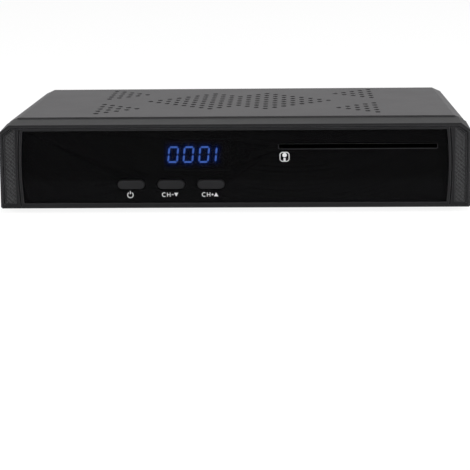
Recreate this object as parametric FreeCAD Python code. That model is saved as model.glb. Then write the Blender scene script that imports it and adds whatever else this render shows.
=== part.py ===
"""Satellite TV receiver: every piece as its own solid, in millimetres.

Frame: +X right, +Y to the rear, +Z up; the front faces -Y.  The origin is the
middle of the footprint, on the surface that the feet stand on.
"""
import FreeCAD, Part
import math
import os

V = FreeCAD.Vector

# Overall sizes
WIDTH = 220.0              # across the bezel
BODY_HEIGHT = 40.1         # bottom of the bezel to the top of the cover
FOOT_HEIGHT = 2.0          # what shows below the body
BEZEL_DEPTH = 24.4         # front face to the joint with the cover
COVER_LENGTH = 120.0       # joint to the rear edge of the cover
SOCKET_REACH = 9.6         # aerial sockets beyond the cover's rear edge

# Sheet metal
COVER_WIDTH = 217.6
SHEET = 0.8                # cover, tray and rear panel
COVER_BEVEL_RUN = 4.4      # slanted strip along each top edge
COVER_BEVEL_DROP = 2.0
REAR_RECESS = 1.2          # rear panel behind the cover's rear edge

# Cover vents: oblong slots on a diagonal lattice
VENT_PITCH_X = 4.6         # column to column
VENT_PITCH_Y = 9.2         # slot to slot in one column
VENT_SLOT_WIDTH = 2.6
VENT_SLOT_LENGTH = 4.6
VENT_MIDDLE_FROM_JOINT = 62.5     # row line of the middle figure
VENT_TRIANGLE_OFFSET = 30.4       # corner triangles, to either side of that line
VENT_TRIANGLE_OUTER = 68.8        # outermost column of each triangle
VENT_COLUMN_COUNTS = (5, 6, 7, 8, 7, 6, 5, 4, 3, 2, 1)   # middle column outwards

# Bezel
BEZEL_WALL = 2.2
BEZEL_STEP = 0.65          # its top is this far below the cover's
FRONT_BEVEL_RUN = 4.6      # corner bevel at the front
FRONT_BEVEL_DROP = 3.6
REAR_BEVEL_RUN = 3.7       # corner bevel at the joint
REAR_BEVEL_DROP = 2.3
EDGE_CHAMFER = 1.0         # round the front face
LOW_EDGE_CHAMFER = 0.4     # along its lower edge
BASE_CORNER = 0.7          # cut on the two lower corners
SEAM_WIDTH = 0.45          # fine groove just inside the front face's edge
SEAM_DEPTH = 0.6
SEAM_INSET = 1.2
SEAM_SIDE_INSET = 0.5      # further in at the two sides
ARC_GROOVE_OFFSET = 1.9    # groove beside the window, outside its curved edge
ARC_GROOVE_WIDTH = 0.8
ARC_GROOVE_DEPTH = 0.8

# Window
WINDOW_HALF_WIDTH = 99.6   # at mid height
WINDOW_EDGE_BOW = 0.9      # its sides bow outwards by this
WINDOW_BOTTOM = 2.6        # above the bezel's lower edge
WINDOW_TOP = 36.6
WINDOW_SET_BACK = 0.8
WINDOW_THICK = 2.0
WINDOW_CLEARANCE = 0.15
LEDGE_THICK = 1.6

# Cheeks: textured inlays outside the window
CHEEK_INNER = 102.6
CHEEK_OUTER = 107.2
CHEEK_BOTTOM = 2.6
CHEEK_TOP = 37.2
CHEEK_THICK = 1.0
CHEEK_SET_BACK = 0.25
CHEEK_CORNER_RUN = 4.0
CHEEK_CORNER_DROP = 2.8

# Card slot
SLOT_LEFT = 20.8
SLOT_RIGHT = 94.4
SLOT_MIDDLE_Z = 28.85
SLOT_HEIGHT = 2.3

# Buttons
BUTTON_X = (-48.4, -29.7, -11.0)
BUTTON_NAMES = ("power", "down", "up")
BUTTON_Z = 11.15
BUTTON_WIDTH = 12.5
BUTTON_HEIGHT = 4.2
BUTTON_GAP = 0.3           # all round in its hole
BUTTON_PROUD = 0.5         # in front of the window
BUTTON_TRAVEL = 0.6

# Display
DIGIT_X = (-28.65, -21.45, -14.15, -6.45)
DIGIT_Z = 24.85
DIGIT_HEIGHT = 7.85
DIGIT_WIDTH = 5.0
DIGIT_SLANT = 0.10         # sideways lean per unit of height
SEGMENT_WIDTH = 0.85
SEGMENT_GAP = 0.5          # between the ends of two segments
DISPLAY_WIDTH = 30.2
DISPLAY_HEIGHT = 14.0
DISPLAY_DEPTH = 7.0
DISPLAY_MIDDLE_X = -17.5

# Boards
BOARD_THICK = 1.6
BOARD_GAP = 6.0            # main board above the tray floor
BOARD_HALF_WIDTH = 100.0
BOARD_FRONT_GAP = 22.0     # main board behind the joint

# Front board and its parts
FRONT_BOARD_DEPTH = 14.6   # behind the front face
FRONT_BOARD_LEFT = -72.0
FRONT_BOARD_RIGHT = 14.0
FRONT_BOARD_LOW = 5.0
FRONT_BOARD_HIGH = 34.5
FRONT_BOARD_SCREW_X = (-66.0, 9.5)
FRONT_BOARD_SCREW_Z = 12.0
POST_R = 3.0               # screw posts inside the bezel
SWITCH_SIZE = 6.0
SWITCH_DEPTH = 4.0
PLUNGER_R = 1.6
PLUNGER_HOLE_R = 1.65
STEM_HALF = 1.2
STEM_CLEARANCE = 0.3
GUIDE_THICK = 2.0
GUIDE_HALF_HEIGHT = 4.4
EYE_X = 4.5                # remote-control eye
EYE_Z = 25.2
EYE_R = 3.0
RIBBON_X = -30.0
RIBBON_HALF = 8.0
RIBBON_THICK = 0.6
HEADER_REACH = 6.0

# Screws and feet
SCREW_HEAD_R = 2.7
SCREW_SHANK_R = 1.4
SCREW_SLACK = 0.2          # round a shank in a clearance hole
BOTTOM_SCREW_X = (-90.0, 0.0, 90.0)
BOTTOM_TONGUE = 10.0       # tray floor reaches this far into the bezel
REAR_SCREW_X = (-98.0, 98.0)
REAR_LIP = 9.0             # tabs of the cover that fold down over the rear panel
PANEL_SCREW_X = (-99.0, -32.0, 46.0, 99.0)
PANEL_SCREW_Z = 3.2
PANEL_TAB = 5.8            # tray tabs behind the rear panel
TRAY_FLANGE = 15.0         # height of the tray's side flanges
SPACER_R = 3.0
FOOT_R = 7.0
FOOT_X = 92.0
FLOOR_VENT_COUNT = 12

# Rear sockets: X of each middle, sizes, and heights above the main board
SOCKET_DEPTH = 14.0
F_SOCKET_X = (86.0, 64.0)
F_THREAD_R = 4.75
F_COLLAR_R = 5.3           # thicker stretch through the panel and the nut
F_BORE_R = 1.0
F_HEIGHT = 12.5
F_NUT_FLATS = 13.0
F_NUT_THICK = 2.4
TUNER_WIDTH = 46.0
TUNER_DEPTH = 52.0
TUNER_HEIGHT = 19.0
PHONO_X = (36.0, 22.0, 8.0)
PHONO_Z = 11.0
PHONO_R = 4.1
PHONO_PIN_R = 1.8
PHONO_REACH = 8.5
OPTICAL_X = -9.0
HDMI_X = -26.0
HDMI_WIDTH = 15.2
HDMI_HEIGHT = 6.0
USB_X = -44.0
USB_WIDTH = 14.4
USB_HEIGHT = 7.2
NETWORK_X = -64.0
NETWORK_WIDTH = 16.0
NETWORK_HEIGHT = 13.4
NETWORK_WALL = 2.1
NETWORK_MOUTH_DEPTH = 12.0
DC_X = -88.0
DC_WIDTH = 9.0
DC_HEIGHT = 11.0
DC_BARREL_R = 3.2
DC_PIN_R = 1.05
DC_Z = 6.2
REAR_VENT_COUNT = 22
REAR_VENT_FIRST = -73.5
REAR_VENT_PITCH = 7.0

# Main board parts
PROCESSOR_X = -10.0
PROCESSOR_BACK = 32.0      # its middle, behind the board's front edge
PROCESSOR_SIZE = 21.0
PROCESSOR_HEIGHT = 1.8
HEATSINK_SIZE = 30.0
HEATSINK_HEIGHT = 11.0
HEATSINK_FINS = 9
# Each capacitor: X, distance behind the board's front edge, radius, height
CAPACITORS = ((-84.0, 16.0, 5.0, 16.0), (-84.0, 34.0, 5.0, 16.0), (-70.0, 22.0, 4.0, 11.5),
              (-58.0, 14.0, 4.0, 11.5), (-58.0, 30.0, 3.15, 11.0), (44.0, 10.0, 4.0, 11.5))
CARD_READER_LENGTH = 56.0
CARD_READER_HALF = 31.0
CARD_READER_RISE = 2.4     # its top above the slot's middle
CARD_WIDTH = 54.0
CARD_SLACK = 0.3
CARD_PASSAGE = 1.4         # height of the card's passage
CARD_STOP = 3.0            # wall at the passage's end
CARD_MOUTH_DEPTH = 8.0     # wide mouth behind the window's slot
CARD_LIP_WALL = 1.4
CARD_BOARD_DROP = 4.6      # reader's board below the slot's middle

# Derived places
FRONT = -(BEZEL_DEPTH + COVER_LENGTH + SOCKET_REACH) / 2
JOINT = FRONT + BEZEL_DEPTH
REAR = JOINT + COVER_LENGTH
PANEL_OUTER = REAR - REAR_RECESS
PANEL_INNER = PANEL_OUTER - SHEET
BASE = FOOT_HEIGHT
TOP = FOOT_HEIGHT + BODY_HEIGHT
BEZEL_TOP = TOP - BEZEL_STEP
WINDOW_FRONT = FRONT + WINDOW_SET_BACK
WINDOW_BACK = WINDOW_FRONT + WINDOW_THICK
LEDGE_BACK = WINDOW_BACK + LEDGE_THICK
GUIDE_FRONT = LEDGE_BACK
GUIDE_BACK = GUIDE_FRONT + GUIDE_THICK
FRONT_BOARD_FRONT = FRONT + FRONT_BOARD_DEPTH
FRONT_BOARD_BACK = FRONT_BOARD_FRONT + BOARD_THICK
MAIN_BOARD_BOTTOM = BASE + SHEET + BOARD_GAP
MAIN_BOARD_TOP = MAIN_BOARD_BOTTOM + BOARD_THICK
MAIN_BOARD_FRONT = JOINT + BOARD_FRONT_GAP
MAIN_BOARD_BACK = PANEL_INNER - 0.4
BOTTOM_SCREW_Y = JOINT - 5.0
SIDE_SCREW_Y = (JOINT + 30.0, JOINT + 96.0)
SIDE_SCREW_Z = BASE + 9.0
REAR_SCREW_Z = TOP - SHEET - 5.0
TRAY_HALF = COVER_WIDTH / 2 - SHEET - 0.2
FOOT_Y = (JOINT + 6.0, REAR - 14.0)
BOARD_SCREW_SPOTS = (
    (-94.0, MAIN_BOARD_FRONT + 6.0),
    (0.0, MAIN_BOARD_FRONT + 6.0),
    (94.0, MAIN_BOARD_FRONT + 6.0),
    (-94.0, MAIN_BOARD_BACK - 26.0),
    (94.0, MAIN_BOARD_BACK - TUNER_DEPTH - 8.0),
)
PROCESSOR_Y = MAIN_BOARD_FRONT + PROCESSOR_BACK
CAP_BACK = WINDOW_BACK + 0.9
FLANGE_FRONT = WINDOW_BACK + 0.1
STEM_BACK = FRONT_BOARD_FRONT - SWITCH_DEPTH - 1.0
DISPLAY_FRONT = WINDOW_BACK + 0.9
RIBBON_FRONT_Z = BASE + 20.0
RIBBON_HEADER_Y = MAIN_BOARD_FRONT + 4.0
CARD_MIDDLE = (SLOT_LEFT + SLOT_RIGHT) / 2
CARD_READER_FRONT = LEDGE_BACK + 0.6
CARD_BOARD_LOW = BASE + SLOT_MIDDLE_Z - CARD_BOARD_DROP


def block(x0, x1, y0, y1, z0, z1):
    """Box between two corners."""
    return Part.makeBox(x1 - x0, y1 - y0, z1 - z0, V(x0, y0, z0))


def centred(x, y, z, size_x, size_y, size_z):
    """Box standing on height z, centred on x and y."""
    half_x = size_x / 2
    half_y = size_y / 2
    return block(x - half_x, x + half_x, y - half_y, y + half_y, z, z + size_z)


def rod_y(radius, x, z, y0, y1):
    """Cylinder along Y."""
    return Part.makeCylinder(radius, y1 - y0, V(x, y0, z), V(0, 1, 0))


def rod_z(radius, x, y, z0, z1):
    """Cylinder along Z."""
    return Part.makeCylinder(radius, z1 - z0, V(x, y, z0), V(0, 0, 1))


def rod_x(radius, y, z, x0, x1):
    """Cylinder along X."""
    return Part.makeCylinder(radius, x1 - x0, V(x0, y, z), V(1, 0, 0))


def prism_y(points, y0, y1):
    """Solid between two Y planes from (x, z) corner points."""
    corners = [V(x, y0, z) for x, z in points]
    wire = Part.makePolygon(corners + [corners[0]])
    return Part.Face(wire).extrude(V(0, y1 - y0, 0))


def prism_z(points, z0, z1):
    """Solid between two Z planes from (x, y) corner points."""
    corners = [V(x, y, z0) for x, y in points]
    wire = Part.makePolygon(corners + [corners[0]])
    return Part.Face(wire).extrude(V(0, 0, z1 - z0))


def stadium_y(x, z, width, height, y0, y1):
    """Round-ended bar seen from the front, between two Y planes."""
    radius = height / 2
    reach = width / 2 - radius
    bar = block(x - reach, x + reach, y0, y1, z - radius, z + radius)
    ends = [rod_y(radius, x - reach, z, y0, y1), rod_y(radius, x + reach, z, y0, y1)]
    return bar.fuse(ends).removeSplitter()


def group(solids):
    """Several separate solids in one node."""
    return Part.makeCompound(solids)


def section(y, inset, bevel_run, bevel_drop, side_inset=0, low_inset=None):
    """Closed bezel outline at one depth, moved inwards by inset."""
    half = WIDTH / 2 - inset - side_inset
    low = BASE + (inset if low_inset is None else low_inset)
    high = BEZEL_TOP - inset
    corner = BASE_CORNER
    slant = math.hypot(bevel_run, bevel_drop)
    run = bevel_run - inset * (slant - bevel_run) / bevel_drop
    drop = bevel_drop - inset * (slant - bevel_drop) / bevel_run
    right = [
        (half - corner, low),
        (half, low + corner),
        (half, high - drop),
        (half - run, high),
    ]
    left = [(-x, z) for x, z in reversed(right)]
    corners = [V(x, y, z) for x, z in right + left]
    return Part.makePolygon(corners + [corners[0]])


def bowed_outline(half_width, bow, z_low, z_high, y):
    """Face whose two sides are arcs that bow outwards."""
    z_middle = (z_low + z_high) / 2
    edge = half_width - bow
    right = Part.Arc(V(edge, y, z_low), V(half_width, y, z_middle), V(edge, y, z_high))
    left = Part.Arc(V(-edge, y, z_high), V(-half_width, y, z_middle), V(-edge, y, z_low))
    top = Part.LineSegment(V(edge, y, z_high), V(-edge, y, z_high))
    bottom = Part.LineSegment(V(-edge, y, z_low), V(edge, y, z_low))
    edges = [curve.toShape() for curve in (right, top, left, bottom)]
    return Part.Face(Part.Wire(edges))


def bowed_slab(half_width, bow, z_low, z_high, y0, y1):
    """Slab with bowed sides between two Y planes."""
    return bowed_outline(half_width, bow, z_low, z_high, y0).extrude(V(0, y1 - y0, 0))


def window_slab(grow, y0, y1):
    """The window's outline, grown all round."""
    low = BASE + WINDOW_BOTTOM - grow
    high = BASE + WINDOW_TOP + grow
    return bowed_slab(WINDOW_HALF_WIDTH + grow, WINDOW_EDGE_BOW, low, high, y0, y1)


def cheek_outline(side, grow):
    """Corner points of one cheek, seen from the front."""
    inner = CHEEK_INNER - grow
    outer = CHEEK_OUTER + grow
    low = BASE + CHEEK_BOTTOM - grow
    high = BASE + CHEEK_TOP + grow
    run = CHEEK_CORNER_RUN
    drop = CHEEK_CORNER_DROP
    points = [(inner, low), (outer, low), (outer, high - drop), (outer - run, high), (inner, high)]
    return [(side * x, z) for x, z in points]


def bezel_outer():
    """Bezel body before it is hollowed."""
    front = section(FRONT, EDGE_CHAMFER, FRONT_BEVEL_RUN, FRONT_BEVEL_DROP, 0, LOW_EDGE_CHAMFER)
    edge = section(FRONT + EDGE_CHAMFER, 0, FRONT_BEVEL_RUN, FRONT_BEVEL_DROP)
    back = section(JOINT, 0, REAR_BEVEL_RUN, REAR_BEVEL_DROP)
    return Part.makeLoft([front, edge, back], True, True)


def bezel_cavity():
    """Space inside the bezel, open to the rear."""
    front = section(LEDGE_BACK, BEZEL_WALL, FRONT_BEVEL_RUN, FRONT_BEVEL_DROP)
    back = section(JOINT + 1.0, BEZEL_WALL, REAR_BEVEL_RUN, REAR_BEVEL_DROP)
    return Part.makeLoft([front, back], True, True)


def perimeter_seam():
    """Fine groove that follows the front face's edge at the sides and top."""
    bevel = (FRONT_BEVEL_RUN, FRONT_BEVEL_DROP, SEAM_SIDE_INSET)
    outer = section(FRONT - 1.0, SEAM_INSET, *bevel)
    inner = section(FRONT - 1.0, SEAM_INSET + SEAM_WIDTH, *bevel)
    depth = V(0, 1.0 + SEAM_DEPTH, 0)
    ring = Part.Face(outer).extrude(depth).cut(Part.Face(inner).extrude(depth))
    keep_low = BASE + WINDOW_BOTTOM - 0.6
    floor = block(-WIDTH, WIDTH, FRONT - 2, FRONT + 2, BASE - 1, keep_low)
    return ring.cut(floor)


def arc_grooves():
    """Bowed groove on each side of the window."""
    low = BASE + 1.0
    high = BEZEL_TOP - SEAM_INSET - SEAM_WIDTH - 0.3
    outer_half = WINDOW_HALF_WIDTH + ARC_GROOVE_OFFSET
    y0 = FRONT - 1.0
    y1 = FRONT + ARC_GROOVE_DEPTH
    outer = bowed_slab(outer_half, WINDOW_EDGE_BOW, low, high, y0, y1)
    inner = bowed_slab(outer_half - ARC_GROOVE_WIDTH, WINDOW_EDGE_BOW, low - 1, high + 1, y0 - 1, y1 + 1)
    return outer.cut(inner)


def ledge_openings():
    """Openings in the wall behind the window: display, eye, buttons and card."""
    y0 = WINDOW_BACK - 0.5
    y1 = LEDGE_BACK + 0.5
    half = DISPLAY_WIDTH / 2 + 0.4
    tall = DISPLAY_HEIGHT / 2 + 0.4
    z_mid = BASE + DIGIT_Z
    cuts = [block(DISPLAY_MIDDLE_X - half, DISPLAY_MIDDLE_X + half, y0, y1, z_mid - tall, z_mid + tall)]
    cuts.append(rod_y(EYE_R + 0.4, EYE_X, BASE + EYE_Z, y0, y1))
    cuts.append(card_gap(0.5, y0, y1))
    for x in BUTTON_X:
        cuts.append(stadium_y(x, BASE + BUTTON_Z, BUTTON_WIDTH + 1.6, BUTTON_HEIGHT + 1.6, y0, y1))
    return cuts


def card_gap(grow, y0, y1):
    """Passage for the card, grown all round."""
    z_mid = BASE + SLOT_MIDDLE_Z
    half = SLOT_HEIGHT / 2 + grow
    return block(SLOT_LEFT - grow, SLOT_RIGHT + grow, y0, y1, z_mid - half, z_mid + half)


def bezel_posts():
    """Posts that the front board is screwed to."""
    posts = []
    for x in FRONT_BOARD_SCREW_X:
        post = rod_y(POST_R, x, BASE + FRONT_BOARD_SCREW_Z, LEDGE_BACK - 0.2, FRONT_BOARD_FRONT)
        pilot = rod_y(SCREW_SHANK_R, x, BASE + FRONT_BOARD_SCREW_Z, FRONT_BOARD_FRONT - 6, FRONT_BOARD_FRONT)
        posts.append(post.cut(pilot))
    return posts


def front_bezel():
    """Deep moulded front frame with bevelled corners."""
    body = bezel_outer().cut(bezel_cavity())
    recess = window_slab(WINDOW_CLEARANCE, FRONT - 1, WINDOW_BACK)
    cuts = [recess, perimeter_seam(), arc_grooves()]
    cuts.extend(ledge_openings())
    for side in (-1, 1):
        cuts.append(prism_y(cheek_outline(side, 0.1), FRONT - 1, FRONT + CHEEK_SET_BACK + CHEEK_THICK))
    body = body.cut(cuts)
    body = body.fuse(bezel_posts())
    for x in BOTTOM_SCREW_X:
        body = body.cut(rod_z(SCREW_SHANK_R + SCREW_SLACK, x, BOTTOM_SCREW_Y, BASE - 1, BASE + 4))
        body = body.cut(rod_z(SCREW_HEAD_R + 0.3, x, BOTTOM_SCREW_Y, BASE - 1, BASE + 1.2))
    return body.removeSplitter()


def window_panel():
    """Smoked gloss panel with three button holes and the card slot."""
    panel = window_slab(0, WINDOW_FRONT, WINDOW_BACK)
    cuts = [card_gap(0, WINDOW_FRONT - 1, WINDOW_BACK + 1)]
    for x in BUTTON_X:
        width = BUTTON_WIDTH + 2 * BUTTON_GAP
        height = BUTTON_HEIGHT + 2 * BUTTON_GAP
        cuts.append(stadium_y(x, BASE + BUTTON_Z, width, height, WINDOW_FRONT - 1, WINDOW_BACK + 1))
    return panel.cut(cuts)


def cheek(side):
    """Textured inlay outside the window."""
    y0 = FRONT + CHEEK_SET_BACK
    return prism_y(cheek_outline(side, 0), y0, y0 + CHEEK_THICK)


def cover_profile(inset):
    """Folded cover seen from the front: sides, bevels and top, moved inwards."""
    half = COVER_WIDTH / 2 - inset
    high = TOP - inset
    low = BASE + 0.4
    slant = math.hypot(COVER_BEVEL_RUN, COVER_BEVEL_DROP)
    run = COVER_BEVEL_RUN - inset * (slant - COVER_BEVEL_RUN) / COVER_BEVEL_DROP
    drop = COVER_BEVEL_DROP - inset * (slant - COVER_BEVEL_DROP) / COVER_BEVEL_RUN
    right = [(half, low), (half, high - drop), (half - run, high)]
    return right + [(-x, z) for x, z in reversed(right)]


def vent_slot(x, y):
    """One oblong vent slot through the cover's top."""
    radius = VENT_SLOT_WIDTH / 2
    reach = VENT_SLOT_LENGTH / 2 - radius
    z0 = TOP - SHEET - 1
    z1 = TOP + 1
    bar = block(x - radius, x + radius, y - reach, y + reach, z0, z1)
    return bar.fuse([rod_z(radius, x, y - reach, z0, z1), rod_z(radius, x, y + reach, z0, z1)])


def vent_column(x, y_middle, count):
    """Column of slots, centred on y_middle."""
    first = y_middle - (count - 1) / 2 * VENT_PITCH_Y
    return [vent_slot(x, first + index * VENT_PITCH_Y) for index in range(count)]


def vent_slots():
    """All slots: the figure in the middle and a triangle in each corner."""
    slots = []
    middle = JOINT + VENT_MIDDLE_FROM_JOINT
    for index, count in enumerate(VENT_COLUMN_COUNTS):
        x = index * VENT_PITCH_X
        sides = (1,) if index == 0 else (-1, 1)
        for side in sides:
            slots.extend(vent_column(side * x, middle, count))
    for side in (-1, 1):
        for rear in (-1, 1):
            y = middle + rear * VENT_TRIANGLE_OFFSET
            for index in range(5):
                x = side * (VENT_TRIANGLE_OUTER - index * VENT_PITCH_X)
                slots.extend(vent_column(x, y, 5 - index))
    return slots


def top_cover():
    """Folded steel cover with the vent pattern."""
    outer = prism_y(cover_profile(0), JOINT, REAR)
    inner = prism_y(cover_profile(SHEET), JOINT - 1, REAR + 1)
    inner = inner.fuse(block(-COVER_WIDTH / 2 + SHEET, COVER_WIDTH / 2 - SHEET, JOINT - 1, REAR + 1,
                             BASE - 1, BASE + 2))
    shell = outer.cut(inner).cut(vent_slots())
    for x in REAR_SCREW_X:
        tab = block(x - 6, x + 6, PANEL_OUTER, PANEL_OUTER + SHEET, TOP - SHEET - REAR_LIP, TOP - SHEET)
        shell = shell.fuse(tab)
        shell = shell.cut(rod_y(SCREW_SHANK_R + SCREW_SLACK, x, REAR_SCREW_Z, PANEL_INNER - 2, REAR + 1))
    for side in (-1, 1):
        for y in SIDE_SCREW_Y:
            hole = rod_x(SCREW_SHANK_R + SCREW_SLACK, y, SIDE_SCREW_Z, 0, COVER_WIDTH)
            if side < 0:
                hole = rod_x(SCREW_SHANK_R + SCREW_SLACK, y, SIDE_SCREW_Z, -COVER_WIDTH, 0)
            shell = shell.cut(hole)
    return shell.removeSplitter()


def floor_vents():
    """Two rows of long slots under the main board."""
    slots = []
    for row_y in (JOINT + 44.0, JOINT + 70.0):
        for index in range(FLOOR_VENT_COUNT):
            x = (index - (FLOOR_VENT_COUNT - 1) / 2) * 10.0
            slots.append(block(x - 1.5, x + 1.5, row_y - 8, row_y + 8, BASE - 1, BASE + SHEET + 1))
    return slots


def chassis_tray():
    """Folded steel tray: floor, side flanges and a tongue into the bezel."""
    floor = block(-TRAY_HALF, TRAY_HALF, JOINT, PANEL_INNER, BASE, BASE + SHEET)
    parts = [block(-100, 100, JOINT - BOTTOM_TONGUE, JOINT, BASE + BEZEL_WALL, BASE + BEZEL_WALL + SHEET)]
    parts.append(block(-100, 100, JOINT, JOINT + SHEET, BASE, BASE + BEZEL_WALL + SHEET))
    for side in (-1, 1):
        x0, x1 = sorted((side * TRAY_HALF, side * (TRAY_HALF - SHEET)))
        parts.append(block(x0, x1, JOINT + 1, PANEL_INNER, BASE, BASE + TRAY_FLANGE))
    for x in PANEL_SCREW_X:
        parts.append(block(x - 5, x + 5, PANEL_INNER - SHEET, PANEL_INNER, BASE, BASE + PANEL_TAB))
    tray = floor.fuse(parts)
    cuts = floor_vents()
    for x in BOTTOM_SCREW_X:
        cuts.append(rod_z(SCREW_SHANK_R, x, BOTTOM_SCREW_Y, BASE + 1, BASE + 6))
    for x, y in BOARD_SCREW_SPOTS:
        cuts.append(rod_z(SCREW_SHANK_R + SCREW_SLACK, x, y, BASE - 1, BASE + 2))
    for x in PANEL_SCREW_X:
        cuts.append(rod_y(SCREW_SHANK_R, x, BASE + PANEL_SCREW_Z, PANEL_INNER - 2, PANEL_INNER + 1))
    for side in (-1, 1):
        for y in SIDE_SCREW_Y:
            x0, x1 = sorted((side * (TRAY_HALF - 3), side * (TRAY_HALF + 3)))
            cuts.append(rod_x(SCREW_SHANK_R, y, SIDE_SCREW_Z, x0, x1))
    return tray.cut(cuts).removeSplitter()


def foot(x, y):
    """Round rubber foot with a small chamfer, pushed against the tray."""
    pad = rod_z(FOOT_R, x, y, 0, BASE)
    edges = [edge for edge in pad.Edges if abs(edge.BoundBox.ZMax) < 0.01]
    return pad.makeChamfer(0.5, edges)


def feet():
    """Four rubber feet."""
    return group([foot(side * FOOT_X, y) for side in (-1, 1) for y in FOOT_Y])


def rear_panel():
    """Flat steel rear panel with a cut-out for each socket."""
    half = COVER_WIDTH / 2 - SHEET - 0.2
    corner = COVER_BEVEL_RUN
    top = TOP - SHEET - 0.2
    outline = [(-half, BASE), (half, BASE), (half, top - COVER_BEVEL_DROP), (half - corner, top),
               (corner - half, top), (-half, top - COVER_BEVEL_DROP)]
    panel = prism_y(outline, PANEL_INNER, PANEL_OUTER)
    y0 = PANEL_INNER - 1
    y1 = PANEL_OUTER + 1
    base = MAIN_BOARD_TOP
    cuts = [rod_y(F_COLLAR_R + 0.2, x, base + F_HEIGHT, y0, y1) for x in F_SOCKET_X]
    cuts.extend(rod_y(PHONO_R + 1.4, x, base + PHONO_Z, y0, y1) for x in PHONO_X)
    cuts.append(block(OPTICAL_X - 5.2, OPTICAL_X + 5.2, y0, y1, base + 0.8, base + 11.2))
    for x, width, height in socket_mouths():
        cuts.append(block(x - width / 2 - 0.4, x + width / 2 + 0.4, y0, y1, base - 0.2, base + height + 0.4))
    cuts.append(rod_y(DC_BARREL_R + 1.3, DC_X, base + DC_Z, y0, y1))
    for x in REAR_SCREW_X:
        cuts.append(rod_y(SCREW_SHANK_R, x, REAR_SCREW_Z, y0, y1))
    for x in PANEL_SCREW_X:
        cuts.append(rod_y(SCREW_SHANK_R + SCREW_SLACK, x, BASE + PANEL_SCREW_Z, y0, y1))
    for index in range(REAR_VENT_COUNT):
        x = REAR_VENT_FIRST + index * REAR_VENT_PITCH
        cuts.append(stadium_vertical(x, BASE + 33.0, y0, y1))
    return panel.cut(cuts)


def stadium_vertical(x, z, y0, y1):
    """Upright vent slot in the rear panel."""
    radius = 1.2
    reach = 1.6
    bar = block(x - radius, x + radius, y0, y1, z - reach, z + reach)
    return bar.fuse([rod_y(radius, x, z - reach, y0, y1), rod_y(radius, x, z + reach, y0, y1)])


def socket_mouths():
    """Middle, width and height of the square socket shells at the rear."""
    return (
        (HDMI_X, HDMI_WIDTH, HDMI_HEIGHT),
        (USB_X, USB_WIDTH, USB_HEIGHT),
        (NETWORK_X, NETWORK_WIDTH, NETWORK_HEIGHT),
    )


def screw_z(x, y, z_seat, length, upward):
    """Pan-head screw along Z; the head is above the seat when upward is 1."""
    head = rod_z(SCREW_HEAD_R, x, y, min(z_seat, z_seat + upward * 1.6), max(z_seat, z_seat + upward * 1.6))
    low = min(z_seat, z_seat - upward * length)
    high = max(z_seat, z_seat - upward * length)
    shank = rod_z(SCREW_SHANK_R, x, y, low, high)
    recess_low = z_seat + upward * 1.6 - (0.8 if upward > 0 else 0)
    cross = [centred(x, y, recess_low, 3.0, 0.7, 0.8), centred(x, y, recess_low, 0.7, 3.0, 0.8)]
    return head.fuse(shank).cut(cross)


def screw_y(x, z, y_seat, length):
    """Pan-head screw along Y with its head towards the rear."""
    head = rod_y(SCREW_HEAD_R, x, z, y_seat, y_seat + 1.2)
    shank = rod_y(SCREW_SHANK_R, x, z, y_seat - length, y_seat)
    y0 = y_seat + 0.6
    cross = [block(x - 1.5, x + 1.5, y0, y0 + 1, z - 0.35, z + 0.35),
             block(x - 0.35, x + 0.35, y0, y0 + 1, z - 1.5, z + 1.5)]
    return head.fuse(shank).cut(cross)


def screw_x(side, y, z, x_seat, length):
    """Pan-head screw along X with its head outwards."""
    x0, x1 = sorted((side * x_seat, side * (x_seat + 1.1)))
    head = rod_x(SCREW_HEAD_R, y, z, x0, x1)
    s0, s1 = sorted((side * (x_seat - length), side * x_seat))
    shank = rod_x(SCREW_SHANK_R, y, z, s0, s1)
    c0, c1 = sorted((side * (x_seat + 0.5), side * (x_seat + 2)))
    cross = [block(c0, c1, y - 1.5, y + 1.5, z - 0.35, z + 0.35),
             block(c0, c1, y - 0.35, y + 0.35, z - 1.5, z + 1.5)]
    return head.fuse(shank).cut(cross)


def cover_screws():
    """Two rear and four side screws that hold the cover."""
    screws = [screw_y(x, REAR_SCREW_Z, PANEL_OUTER + SHEET, 5.0) for x in REAR_SCREW_X]
    for side in (-1, 1):
        for y in SIDE_SCREW_Y:
            screws.append(screw_x(side, y, SIDE_SCREW_Z, COVER_WIDTH / 2, 4.5))
    return group(screws)


def panel_screws():
    """Four screws that hold the rear panel to the tray's tabs."""
    return group([screw_y(x, BASE + PANEL_SCREW_Z, PANEL_OUTER, 4.0) for x in PANEL_SCREW_X])


def bezel_screws():
    """Three screws from below that hold the bezel to the tray's tongue."""
    screws = []
    for x in BOTTOM_SCREW_X:
        head = rod_z(SCREW_HEAD_R, x, BOTTOM_SCREW_Y, BASE + 0.1, BASE + 1.2)
        shank = rod_z(SCREW_SHANK_R, x, BOTTOM_SCREW_Y, BASE + 1.2, BASE + 7.5)
        screws.append(head.fuse(shank).removeSplitter())
    return group(screws)


def board_screws():
    """Screws that hold the main board on its spacers."""
    return group([screw_z(x, y, MAIN_BOARD_TOP, BOARD_THICK + 4, 1) for x, y in BOARD_SCREW_SPOTS])


def board_spacers():
    """Threaded spacers between the tray and the main board."""
    spacers = []
    for x, y in BOARD_SCREW_SPOTS:
        body = rod_z(SPACER_R, x, y, BASE + SHEET, MAIN_BOARD_BOTTOM)
        spacers.append(body.cut(rod_z(SCREW_SHANK_R, x, y, BASE, MAIN_BOARD_TOP)))
    return group(spacers)


def front_screws():
    """Two screws that hold the front board on the bezel's posts."""
    z = BASE + FRONT_BOARD_SCREW_Z
    return group([screw_y(x, z, FRONT_BOARD_BACK, BOARD_THICK + 5) for x in FRONT_BOARD_SCREW_X])


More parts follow.
